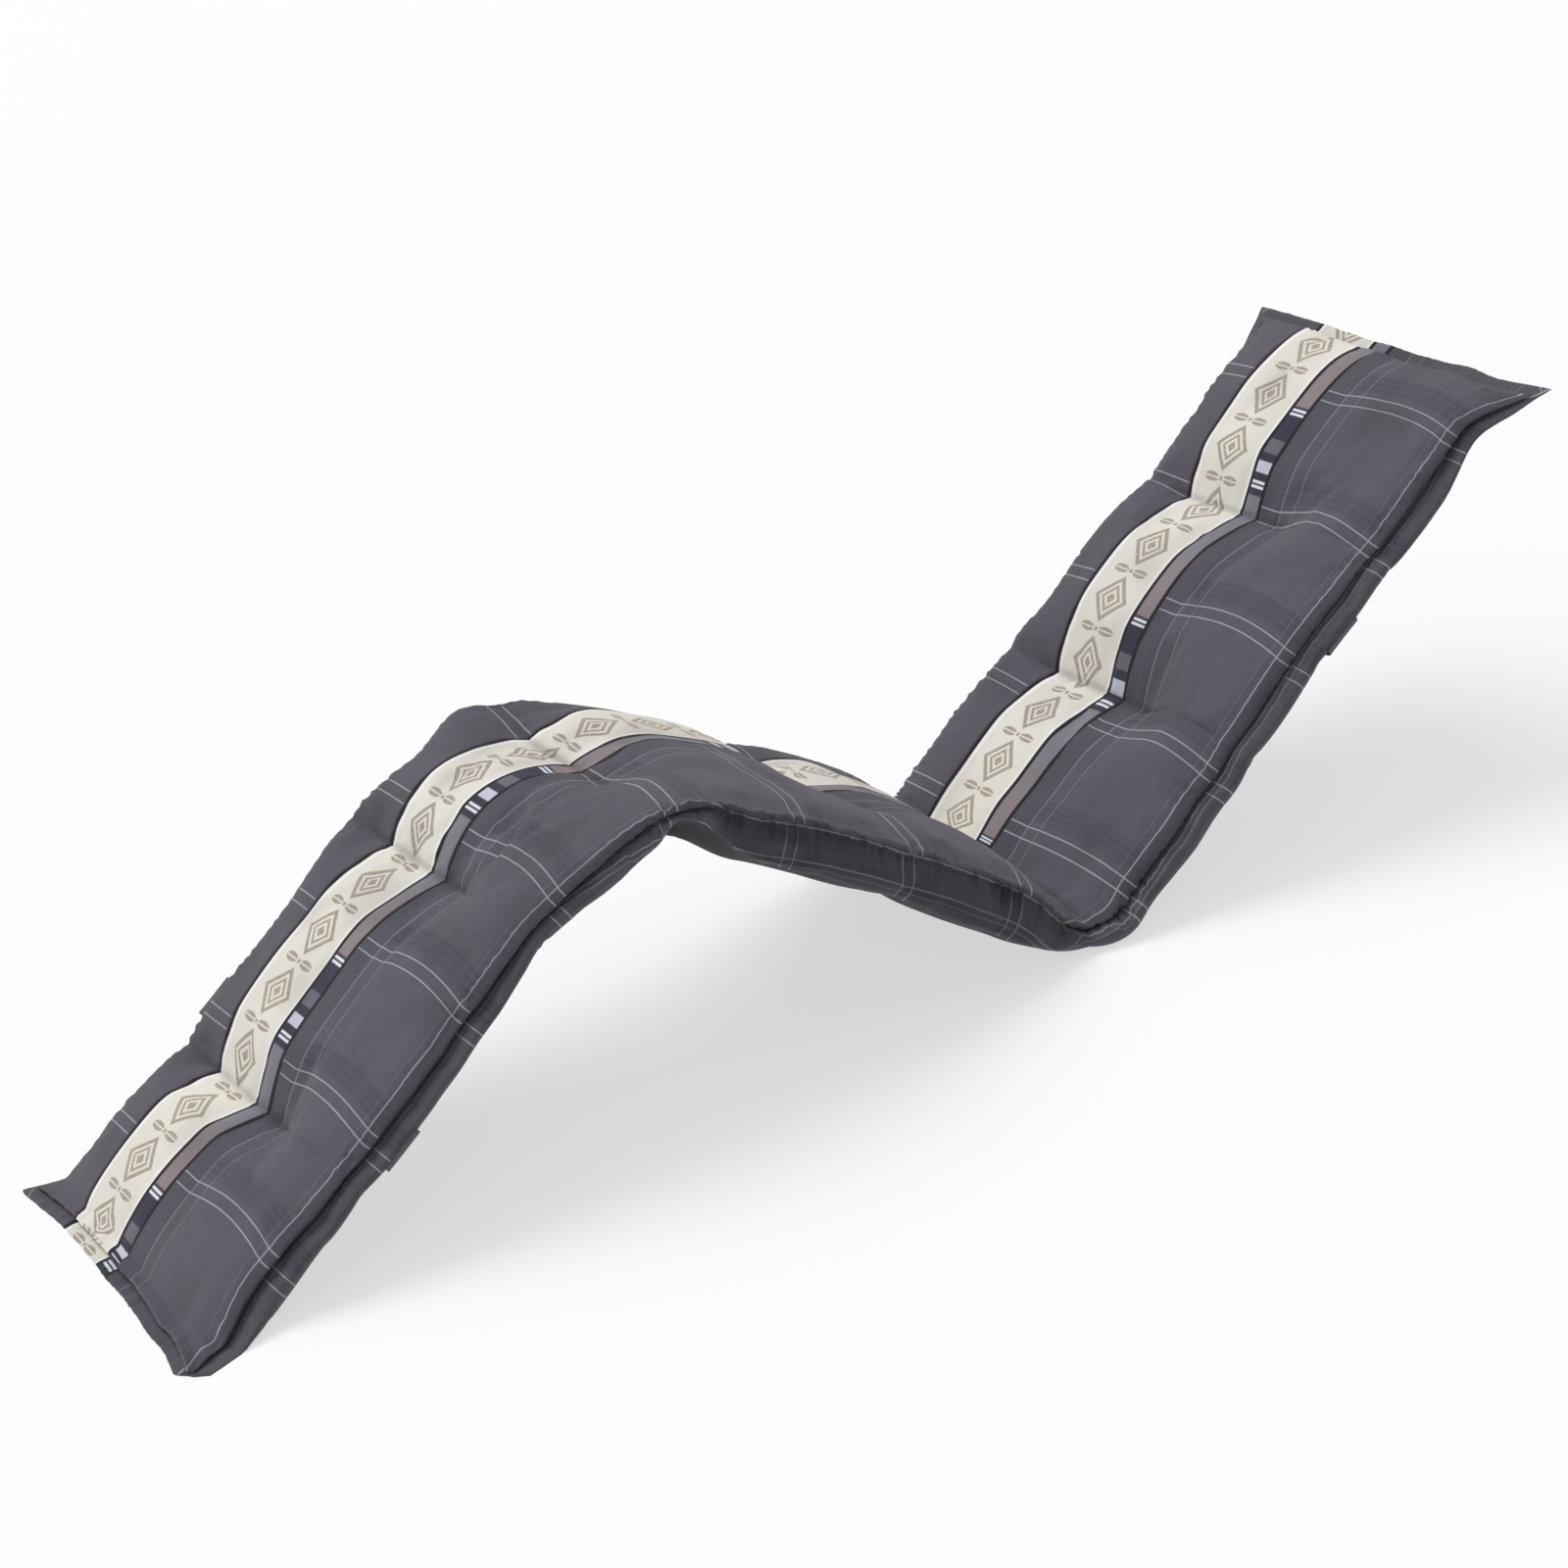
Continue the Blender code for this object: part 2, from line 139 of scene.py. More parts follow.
# Bent line, filling, channels and ends have the solid's measures, in metres; the borders'
# corrections are the scene's own. station: metres along the bent line from the foot.
pad = {
    "bends": [                   # station, heading in degrees above level
        (0.000, 31.0), (0.162, 30.0), (0.307, 34.5), (0.452, 31.5), (0.587, 9.0),
        (0.712, -28.5), (0.852, -35.5), (0.992, -39.5), (1.067, -49.5), (1.122, -13.5),
        (1.177, 32.5), (1.282, 35.0), (1.422, 37.0), (1.567, 30.5), (1.712, 35.0),
        (1.809, 33.5),
    ],
    "filling": [                 # station, shoulder, crown, edge, belly, half, roll
        (0.000, 0.017, 0.027, 0.009, 0.022, 0.204, 0.020),
        (0.330, 0.018, 0.030, 0.009, 0.026, 0.204, 0.018),
        (0.500, 0.021, 0.031, 0.008, 0.024, 0.203, 0.014),
        (0.635, 0.033, 0.032, 0.004, 0.014, 0.198, 0.006),
        (0.720, 0.021, 0.033, 0.030, 0.031, 0.203, 0.012),
        (0.860, 0.020, 0.034, 0.037, 0.038, 0.205, 0.018),
        (1.020, 0.019, 0.034, 0.034, 0.034, 0.205, 0.018),
        (1.122, 0.014, 0.026, 0.022, 0.028, 0.203, 0.012),
        (1.210, 0.017, 0.029, 0.012, 0.028, 0.204, 0.014),
        (1.480, 0.018, 0.030, 0.009, 0.026, 0.204, 0.018),
        (1.809, 0.017, 0.026, 0.009, 0.022, 0.204, 0.020),
    ],
    "channels": [                # station, depth, share of it left at the far and near edge,
                                 # depth on the underside, notch in the outline
        (0.184, 0.024, 0.24, 0.06, 0.010, 0.004),
        (0.464, 0.022, 0.12, 0.06, 0.010, 0.003),
        (0.633, 0.018, 0.15, 0.15, 0.004, 0.004),
        (0.880, 0.020, 0.22, 0.10, 0.010, 0.003),
        (1.122, 0.018, 0.40, 0.60, 0.000, 0.006),
        (1.366, 0.023, 0.22, 0.06, 0.010, 0.003),
        (1.604, 0.023, 0.22, 0.06, 0.010, 0.004),
    ],
    "farEdge": [                 # station, how far the far border stands out more, and lies higher
        (0.000, 0.001, 0.001), (0.130, 0.004, 0.002), (0.240, 0.003, 0.002),
        (0.350, -0.003, -0.001), (0.470, 0.008, 0.006), (0.540, -0.001, 0.001),
        (0.600, 0.010, 0.010), (0.645, 0.002, 0.001), (0.700, 0.000, 0.000),
        (0.780, 0.000, -0.003), (0.860, 0.000, 0.001), (0.930, 0.003, 0.005),
        (1.000, 0.004, 0.009), (1.075, 0.008, 0.020), (1.130, 0.010, 0.012),
        (1.240, 0.011, 0.010), (1.366, 0.010, 0.008), (1.440, -0.001, 0.001),
        (1.520, 0.002, 0.001), (1.650, -0.001, 0.000), (1.809, -0.003, 0.000),
    ],
    "nearEdge": [                # station, how far the near border stands out more, and how
                                 # much higher its bottom lies
        (0.000, -0.003, 0.000), (0.060, -0.003, -0.004), (0.130, -0.003, 0.000),
        (0.210, -0.004, 0.002), (0.350, -0.005, 0.004), (0.464, -0.010, 0.006),
        (0.560, -0.003, 0.003), (0.605, -0.003, 0.007), (0.643, -0.004, 0.020),
        (0.695, -0.002, 0.008), (0.760, 0.000, 0.003), (0.860, -0.001, 0.006),
        (0.960, 0.000, -0.001), (1.030, 0.000, 0.000), (1.110, 0.000, 0.006),
        (1.170, 0.007, 0.003), (1.250, 0.002, -0.001), (1.420, 0.005, -0.001),
        (1.500, 0.002, 0.000), (1.690, 0.001, 0.000), (1.755, -0.008, 0.006),
        (1.809, -0.004, 0.001),
    ],
    "seamLevels": [              # station, height of the sewn seam as a share of the side
        (0.000, 0.60), (0.500, 0.60), (0.635, 0.76), (0.700, 0.92), (1.050, 0.92),
        (1.122, 0.76), (1.190, 0.60), (1.809, 0.60),
    ],
    "upperSide": [               # shoulder down to the seam: share of the way, share of the puff
        (0.0, -0.20), (0.25, 0.00), (0.50, 0.10), (0.75, 0.02), (0.90, -0.26), (1.0, -0.60),
    ],
    "lowerSide": [               # seam down to the underside
        (0.0, -0.60), (0.05, 0.00), (0.14, 0.50), (0.30, 0.90), (0.50, 1.00), (0.75, 0.90),
        (1.0, 0.62),
    ],
    # the seat's thick side has no groove at its seam
    "seatUpperSide": [(0.0, -0.20), (0.50, -0.08), (1.0, 0.02)],
    "seatLowerSide": [
        (0.0, 0.02), (0.08, 0.12), (0.30, 0.62), (0.60, 1.00), (0.82, 0.92), (1.0, 0.62),
    ],
    "seatSide": (0.655, 1.115, 0.03),  # where that thick side starts and stops, and its ramp
    "halfTop": 0.204,                  # half the top's width where no channel pulls it in
    "endRoll": 0.018, "endReach": 0.100,
    "endAtMiddle": (0.028, 0.017),     # how far foot and head stick out past the bent line
    "endSlant": (0.010, -0.004),       # and how much more at the near side than the middle
    "ears": {                    # corners: how far out past the long edge, and past the end,
                                 # blunt from here, reach of the flare
        "farFoot": (0.029, 0.012, 0.092, 0.070), "nearFoot": (0.038, 0.015, 0.080, 0.075),
        "farHead": (0.026, 0.001, 0.080, 0.066), "nearHead": (0.041, 0.003, 0.094, 0.050),
    },
    "earReach": 0.075, "earThickness": 0.30,
    "endWave": 0.0028, "sideWave": 0.0020,     # unevenness of the outline
    "farBlend": 0.45, "nearBlend": 0.25,       # how far the borders' corrections reach in
    "cutFold": 0.46,                   # how far what lies past a corner's cut is folded back
    "cornerBlend": 0.024, "edgeBlend": 0.030, "waveBlend": 0.05,
    "pressed": 0.011, "rollLevel": 0.26,       # least height over the floor above this level
    "flatTop": 2.6, "shoulderRound": 1.6,      # powers of the crown's curve
    "endLength": 0.085, "endRound": 2.4, "endThickness": 0.45,     # thinning of foot and head
    "channelFade": 0.021, "channelFullFar": -0.62, "channelFullNear": 0.20,
    "channelRampFar": 0.36, "channelRampNear": 0.42, "underFull": 0.60,
    "slimmer": 0.0020,           # taken off the crown before the filling swells it again
    "shift": (0.0, -0.766239, -0.001),
    "step": 0.001,
}

# The check's cross rows: bent line stations at which the printed cloth has one row each
check = {
    "rowStations": [0.086, 0.227, 0.369, 0.505, 0.632, 0.756, 0.893, 1.029, 1.186, 1.329,
                    1.470, 1.609, 1.751],
    "firstRow": 0.086, "repeat": 0.141,
    "topEdge": 0.2005,           # half the top's cloth, from its middle to the shoulder
    "borderShift": 0.010,        # the border strip's rows beside the top's
    "endShift": 0.004,           # the band on the end strips beside the top's
    "rowArc": 0.009,             # how far the rows bow towards the head on their near half
    "seatDrop": 0.012,           # how much lower the check lies at the seat's near side
    "seatSlip": 0.006,           # how much further to the far side the band lies on the seat
}

padLength = pad["bends"][-1][0]


def ramp(t):
    # S-shaped ramp: 3t^2 - 2t^3 between 0 and 1
    t = np.clip(t, 0.0, 1.0)
    return t * t * (3.0 - 2.0 * t)


def eased(rows, column, station):
    # a table's column at any station, going from row to row on the S-shaped ramp
    at = np.array([row[0] for row in rows])
    values = np.array([row[column] for row in rows])
    low = np.clip(np.searchsorted(at, station, side="right") - 1, 0, len(at) - 2)
    share = ramp((station - at[low]) / (at[low + 1] - at[low]))
    return values[low] + (values[low + 1] - values[low]) * share


def curveThrough(rows, place):
    # smooth curve through a few points of a profile (Catmull-Rom, clamped at both ends)
    at = np.array([row[0] for row in rows])
    values = np.array([row[1] for row in rows])
    slope = np.gradient(values, at)
    low = np.clip(np.searchsorted(at, place, side="right") - 1, 0, len(at) - 2)
    gap = at[low + 1] - at[low]
    t = np.clip((place - at[low]) / gap, 0.0, 1.0)
    return ((2 * t**3 - 3 * t**2 + 1) * values[low] + (t**3 - 2 * t**2 + t) * gap * slope[low]
            + (3 * t**2 - 2 * t**3) * values[low + 1] + (t**3 - t**2) * gap * slope[low + 1])


lineAt = np.arange(round(padLength / pad["step"]) + 1) * pad["step"]
lineTurn = np.radians(eased(pad["bends"], 1, lineAt))
lineY = np.concatenate([[0.0], np.cumsum(np.cos(lineTurn[:-1]))]) * pad["step"]
lineZ = np.concatenate([[0.0], np.cumsum(np.sin(lineTurn[:-1]))]) * pad["step"]


def carry(across, along, height):
    # flat point onto the bent line: the line's point plus height times its normal
    place = along / pad["step"]
    low = np.clip(np.floor(place).astype(int), 0, len(lineAt) - 2)
    share = place - low
    turn = lineTurn[low] + (lineTurn[low + 1] - lineTurn[low]) * share
    y = lineY[low] + (lineY[low + 1] - lineY[low]) * share - height * np.sin(turn)
    z = lineZ[low] + (lineZ[low + 1] - lineZ[low]) * share + height * np.cos(turn)
    return np.stack([across + 0 * y, y, z], axis=-1) + np.array(pad["shift"])


def channelPull(station, column):
    # the deepest of the channels' pulls, each dying out as exp(-distance / fade)
    pulls = [row[column] * np.exp(-np.abs(station - row[0]) / pad["channelFade"])
             for row in pad["channels"]]
    return np.max(pulls, axis=0)


def channelReach(share, station):
    # full depth between the two tuft ends, less towards either long edge
    gaps = np.abs(np.stack([station - row[0] for row in pad["channels"]]))
    nearest = np.argmin(gaps, axis=0)
    far = np.array([row[2] for row in pad["channels"]])[nearest]
    near = np.array([row[3] for row in pad["channels"]])[nearest]
    toFar = ramp((pad["channelFullFar"] - share) / pad["channelRampFar"])
    toNear = ramp((share - pad["channelFullNear"]) / pad["channelRampNear"])
    return 1.0 - (1.0 - far) * toFar - (1.0 - near) * toNear


def crownShape(share):
    # 1 in the middle, 0 at the long edges
    return np.clip(1.0 - np.abs(share) ** pad["flatTop"], 0.0, 1.0) ** (1.0 / pad["shoulderRound"])


def endFall(station):
    # filling: 0 at the very end, 1 from a hand's breadth on
    fromEnd = np.minimum(station, padLength - station)
    return 1.0 - (1.0 - np.clip(fromEnd / pad["endLength"], 0.0, 1.0)) ** pad["endRound"]


def halfWidth(station):
    return eased(pad["filling"], 5, station) - channelPull(station, 5)


def earShare(share, station):
    # 1 at a corner's tip, 0 away from the four corners
    fromEnd = np.minimum(station, padLength - station)
    along = np.clip(1.0 - fromEnd / earSize(share, station, 3), 0.0, 1.0)
    sideways = 1.0 - (1.0 - np.abs(share)) * halfWidth(station) / pad["earReach"]
    return (along * np.clip(sideways, 0.0, 1.0)) ** 2


def topHeight(share, station, slimmer=pad["slimmer"]):
    # shoulder plus crown, less the channels, and thinner towards foot and head
    shoulder = eased(pad["filling"], 1, station)
    rise = eased(pad["filling"], 2, station) - shoulder
    fall = endFall(station)
    lip = pad["endThickness"] + (1.0 - pad["endThickness"]) * fall
    height = shoulder * lip + (rise - slimmer) * crownShape(share) * fall
    return height - channelPull(station, 1) * channelReach(share, station)


def underHeight(share, station, slimmer=pad["slimmer"]):
    # the same below the bent line
    edge = eased(pad["filling"], 3, station)
    drop = eased(pad["filling"], 4, station) - edge
    fall = endFall(station)
    lip = pad["endThickness"] + (1.0 - pad["endThickness"]) * fall
    depth = edge * lip + (drop - slimmer) * crownShape(share) * fall
    fade = ramp((np.abs(share) - pad["underFull"]) / (1.0 - pad["underFull"]))
    return -depth + channelPull(station, 4) * (1.0 - fade)


def endStretch(share, station):
    # how far foot and head stick out past the bent line's ends: all at the end, 0 from reach on
    head = station > padLength / 2.0
    fromEnd = np.minimum(station, padLength - station)
    most = np.where(head, pad["endAtMiddle"][1], pad["endAtMiddle"][0])
    most = most + np.where(head, pad["endSlant"][1], pad["endSlant"][0]) * share
    return most * np.clip(1.0 - fromEnd / pad["endReach"], 0.0, 1.0) ** 2


def earSize(share, station, column):
    # one number of the corner that a point lies nearest to
    ears = pad["ears"]
    foot = np.where(share > 0, ears["nearFoot"][column], ears["farFoot"][column])
    head = np.where(share > 0, ears["nearHead"][column], ears["farHead"][column])
    return np.where(station > padLength / 2.0, head, foot)


def padPoint(share, station, level, puff, sideways, endways):
    # across: share of the half width, plus the puff where sideways is 1
    # along: the station, plus the end's puff where endways is 1
    # height: level 1 is the top, level 0 the underside
    ear = earShare(share, station)
    top = topHeight(share, station)
    under = underHeight(share, station)
    height = (under + (top - under) * level) * (1.0 - (1.0 - pad["earThickness"]) * ear)
    side = np.sign(share)
    end = np.sign(station - padLength / 2.0)
    roll = eased(pad["filling"], 6, station)
    ear = ear * np.abs(share)
    across = share * halfWidth(station) + side * (roll * puff * sideways
                                                  + earSize(share, station, 0) * ear)
    along = station + end * (endStretch(share, station) + pad["endRoll"] * puff * endways
                             + earSize(share, station, 1) * ear)
    farSide = ramp((-share - 1.0 + pad["farBlend"]) / pad["farBlend"])
    across = across - farSide * eased(pad["farEdge"], 1, station)
    height = height + farSide * eased(pad["farEdge"], 2, station) * level
    fromEnd = np.minimum(station, padLength - station)
    wave = pad["endWave"] * wander(share, 0.21, 17)
    along = along + end * wave * fadeIn(fromEnd, pad["waveBlend"])
    nearSide = ramp((share - 1.0 + pad["nearBlend"]) / pad["nearBlend"])
    across = across + nearSide * pad["sideWave"] * wander(station, 0.036, 15)
    lower = np.clip(1.0 - level / 0.75, 0.0, 1.0)
    across = across + nearSide * eased(pad["nearEdge"], 1, station) * (0.4 + 0.6 * (level < 0.7))
    height = height + nearSide * eased(pad["nearEdge"], 2, station) * lower
    # blunt corner tips: what lies past a slanting cut is folded back onto it
    cut = earSize(share, station, 2)
    fromCorner = end * (along - np.where(end > 0, padLength, 0.0))
    past = side * across - pad["halfTop"] + fromCorner - cut
    past = np.maximum(past, 0.0) * np.where(ear > 0, pad["cutFold"], 0.0)
    across = across - side * past
    along = along - end * past
    points = carry(across, along, height)
    least = np.maximum(level - pad["rollLevel"], 0.0) * pad["pressed"]
    points[..., 2] = np.maximum(points[..., 2], least)
    return points


def seatShare(station):
    # 1 on the seat's thick side, 0 on the leg and back parts
    start, stop, reach = pad["seatSide"]
    return ramp((station - start) / reach) * ramp((stop - station) / reach)


def fadeIn(distance, reach):
    # 1 at the edge, 0 from reach on
    return np.clip(1.0 - distance / reach, 0.0, 1.0) ** 2


def gridLines(rowsPerPanel, columns):
    # stations closer together beside each channel, shares closer together at the long edges
    ends = [0.0] + [row[0] for row in pad["channels"]] + [padLength]
    parts = []
    for start, stop in zip(ends, ends[1:]):
        count = max(4, round(rowsPerPanel * (stop - start) / 0.24))
        t = np.arange(count) / count
        parts.append(start + (stop - start) * (0.55 * t + 0.45 * (0.5 - 0.5 * np.cos(np.pi * t))))
    stations = np.concatenate(parts + [[padLength]])
    t = np.linspace(-1.0, 1.0, columns + 1)
    shares = 0.45 * t + 0.55 * np.sin(np.pi / 2.0 * t)
    return stations, shares


def padForm(stations, shares, upperRows, lowerRows):
    # three grids: the top, the underside, and the border's rows round the rim, which runs
    # foot, near side, head, far side
    share, station = np.meshgrid(shares, stations)
    toSide = (1.0 - np.abs(share)) * pad["halfTop"]
    toEnd = np.minimum(station, padLength - station)
    sideways = fadeIn(toSide, pad["edgeBlend"])
    endways = fadeIn(toEnd, pad["edgeBlend"])
    top = padPoint(share, station, 1.0, pad["upperSide"][0][1], sideways, endways)
    under = padPoint(share, station, 0.0, pad["lowerSide"][-1][1], sideways, endways)
    rimShare, rimStation = rimLoop(stations, shares)
    rimSideways = fadeIn((1.0 - np.abs(rimShare)) * pad["halfTop"], pad["cornerBlend"])
    rimEndways = fadeIn(np.minimum(rimStation, padLength - rimStation), pad["cornerBlend"])
    seam = eased(pad["seamLevels"], 1, rimStation)
    seat = seatShare(rimStation) * (np.abs(rimShare) > 0.999)
    rows = []
    for t in np.linspace(0.0, 1.0, upperRows + 1):
        puff = curveThrough(pad["upperSide"], t)
        puff = puff + (curveThrough(pad["seatUpperSide"], t) - puff) * seat
        rows.append((1.0 - (1.0 - seam) * t, puff))
    for t in np.linspace(0.0, 1.0, lowerRows + 1)[1:]:
        t = 0.65 * t + 0.35 * t * t
        puff = curveThrough(pad["lowerSide"], t)
        puff = puff + (curveThrough(pad["seatLowerSide"], t) - puff) * seat
        rows.append((seam * (1.0 - t), puff))
    border = np.stack([
        padPoint(rimShare, rimStation, level, puff, rimSideways, rimEndways)
        for level, puff in rows
    ])
    return top, under, border


def rimLoop(stations, shares):
    # the rim's (share, station) points: foot, near side, head, far side
    share = np.concatenate([shares[:-1], np.full(len(stations) - 1, shares[-1]),
                            shares[:0:-1], np.full(len(stations) - 1, shares[0])])
    station = np.concatenate([np.full(len(shares) - 1, stations[0]), stations[:-1],
                              np.full(len(shares) - 1, stations[-1]), stations[:0:-1]])
    return share, station


def rimOf(grid):
    # a grid's rim in the same order
    return np.concatenate([grid[0, :-1], grid[:-1, -1], grid[-1, :0:-1], grid[:0:-1, 0]])


def vertexGrids(rows, columns, borderRows):
    # vertex numbers of the top, the underside and the border; the border's first and last
    # rows are the rims of the other two
    top = np.arange(rows * columns).reshape(rows, columns)
    under = top + rows * columns
    rim = 2 * (rows - 1) + 2 * (columns - 1)
    middle = np.arange((borderRows - 2) * rim).reshape(borderRows - 2, rim) + 2 * rows * columns
    border = np.concatenate([rimOf(top)[None], middle, rimOf(under)[None]])
    return top, under, border


def quads(grid, flip=False):
    # faces of a grid of vertex numbers, one row of four numbers each
    faces = np.stack([grid[:-1, :-1], grid[:-1, 1:], grid[1:, 1:], grid[1:, :-1]], axis=-1)
    faces = faces.reshape(-1, 4)
    return faces[:, ::-1] if flip else faces


def quadsOf(values, flip):
    # the same order of corners for a grid of values, such as the printed cloth's coordinates
    corners = np.stack([values[:-1, :-1], values[:-1, 1:], values[1:, 1:], values[1:, :-1]], axis=2)
    corners = corners.reshape(-1, 4, values.shape[-1])
    return corners[:, ::-1] if flip else corners


def clothAlong(station):
    # metres along the printed cloth: each row of the check at its own station
    rows = np.array([0.0] + check["rowStations"] + [padLength])
    along = check["firstRow"] + check["repeat"] * np.arange(len(check["rowStations"]))
    along = np.concatenate([[0.0], along, [along[-1] + padLength - rows[-2]]])
    outward = np.sign(station - padLength / 2.0) * endStretch(0.0, station)
    return curveThrough(np.stack([rows, along], axis=1), station) + outward


def rowArc(share, station):
    # the rows' bow, a half wave between the stripe and the near edge, none on the seat or
    # in the valley
    bow = np.sin(np.pi * np.clip((share - 0.14) / 0.86, 0.0, 1.0))
    bow = bow * (1.0 - np.exp(-((station - 1.122) / 0.10) ** 2))
    return check["rowArc"] * bow * (1.0 - seatShare(station))


def arcDown(border):
    # length of the border's profile from its first row, for each rim point
    gaps = np.linalg.norm(np.diff(border, axis=0), axis=-1)
    return np.concatenate([np.zeros((1, border.shape[1])), np.cumsum(gaps, axis=0)])


def makeMesh(name, points, faces):
    mesh = bpy.data.meshes.new(name)
    mesh.vertices.add(len(points))
    mesh.vertices.foreach_set("co", np.ascontiguousarray(points, dtype=np.float32).ravel())
    mesh.loops.add(faces.size)
    mesh.loops.foreach_set("vertex_index", np.ascontiguousarray(faces, dtype=np.int32).ravel())
    mesh.polygons.add(len(faces))
    mesh.polygons.foreach_set("loop_start", np.arange(len(faces), dtype=np.int32) * 4)
    mesh.update(calc_edges=True)
    mesh.validate()
    mesh.shade_smooth()
    return mesh


def padFaces(top, under, border):
    return np.concatenate([quads(top), quads(under, True), quads(closeLoop(border), True)])


def closeLoop(grid):
    return np.concatenate([grid, grid[:, :1]], axis=1)


# Filling it: the cloth simulation

swelling = {
    "rowsPerPanel": 26, "columns": 44, "upperRows": 3, "lowerRows": 7,
    "frames": 20, "pressure": 4.0, "spareCloth": 0.014, "cap": 0.0082,
    "borderShare": 0.40,         # share of the movement that is kept on the border
    "rimReach": 0.022,           # and over this distance from it on the top and underside
    "sewnTop": (-0.86, 0.26), "sewnUnder": 0.8,    # shares between which a channel is sewn
    "pressedBelow": 0.004,       # cloth this close to the floor stays where it is
    "settings": {
        "quality": 6, "mass": 0.25, "tension_stiffness": 20.0, "compression_stiffness": 12.0,
        "shear_stiffness": 6.0, "bending_stiffness": 0.6, "air_damping": 1.5,
        "use_pressure": True,
    },
}


def swell(stations, shares):
    # the cover between its seams and channels is blown up by the filling; the result is how
    # far each point of the three grids moves
    top, under, border = padForm(stations, shares, swelling["upperRows"], swelling["lowerRows"])
    grids = vertexGrids(*top.shape[:2], len(border))
    points = np.concatenate([top.reshape(-1, 3), under.reshape(-1, 3),
                             border[1:-1].reshape(-1, 3)])
    mesh = makeMesh("swelling", points, padFaces(*grids))
    thing = putInScene("swelling", mesh)
    held = np.zeros(len(points))
    held[grids[2][swelling["upperRows"]]] = 1.0
    share, station = np.meshgrid(shares, stations)
    nearest = np.min([np.abs(station - row[0]) for row in pad["channels"]], axis=0)
    onChannel = nearest < pad["step"]
    start, stop = swelling["sewnTop"]
    held[grids[0][onChannel & (share > start) & (share < stop)]] = 1.0
    held[grids[1][onChannel & (np.abs(share) < swelling["sewnUnder"])]] = 1.0
    held[points[:, 2] < swelling["pressedBelow"]] = 1.0
    group = thing.vertex_groups.new(name="sewn")
    group.add(np.flatnonzero(held).tolist(), 1.0, "REPLACE")
    cloth = thing.modifiers.new("filling", "CLOTH")
    settings = cloth.settings
    for setting, value in swelling["settings"].items():
        setattr(settings, setting, value)
    settings.uniform_pressure_force = swelling["pressure"]
    settings.shrink_min = -swelling["spareCloth"]
    settings.vertex_group_mass = group.name
    settings.effector_weights.gravity = 0.0
    cloth.point_cache.frame_start = 1
    cloth.point_cache.frame_end = swelling["frames"]
    for number in range(1, swelling["frames"] + 1):
        scene.frame_set(number)
    grown = thing.evaluated_get(bpy.context.evaluated_depsgraph_get())
    swollen = np.empty(len(points) * 3, dtype=np.float32)
    grown.data.vertices.foreach_get("co", swollen)
    moves = swollen.reshape(-1, 3).astype(float) - points
    length = np.linalg.norm(moves, axis=1, keepdims=True)
    moves /= (1.0 + (length / swelling["cap"]) ** 4) ** 0.25
    toEnd = np.minimum(station, padLength - station)
    toRim = np.minimum((1.0 - np.abs(share)) * pad["halfTop"], toEnd)
    kept = 1.0 - (1.0 - swelling["borderShare"]) * np.exp(-toRim / swelling["rimReach"])
    keep = np.full(len(points), swelling["borderShare"])
    keep[grids[0]] = kept
    keep[grids[1]] = kept
    moves *= keep[:, None]
    report(f"filling: moved {length.max() * 1000:.1f} mm at most, "
           f"{length.mean() * 1000:.1f} mm in the mean")
    bpy.data.objects.remove(thing, do_unlink=True)
    bpy.data.meshes.remove(mesh)
    scene.frame_set(1)
    return [moves[grid] for grid in grids]


def between(coarse, fine, closed=False):
    # weights that carry values from coarse positions to fine ones (Catmull-Rom)
    count = len(coarse)
    index = np.arange(count, dtype=float)
    place = np.interp(fine, coarse, index)
    low = np.clip(np.floor(place).astype(int), 0, count - 2)
    t = place - low
    weights = np.zeros((len(fine), count))
    rows = np.arange(len(fine))
    parts = [(-1, -0.5 * t + t**2 - 0.5 * t**3), (0, 1 - 2.5 * t**2 + 1.5 * t**3),
             (1, 0.5 * t + 2 * t**2 - 1.5 * t**3), (2, -0.5 * t**2 + 0.5 * t**3)]
    for offset, weight in parts:
        column = low + offset
        column = column % (count - 1) if closed else np.clip(column, 0, count - 1)
        np.add.at(weights, (rows, column), weight)
    return weights


def rimPlace(stations, shares, fineStations, fineShares):
    # position of the fine rim's points on the coarse rim, counted in coarse points
    i = np.interp(fineStations, stations, np.arange(len(stations)))
    j = np.interp(fineShares, shares, np.arange(len(shares)))
    rows, columns = len(stations) - 1, len(shares) - 1
    return np.concatenate([j[:-1], columns + i[:-1], columns + rows + (columns - j[:0:-1]),
                           2 * columns + rows + (rows - i[:0:-1])])


# Creases and gathers

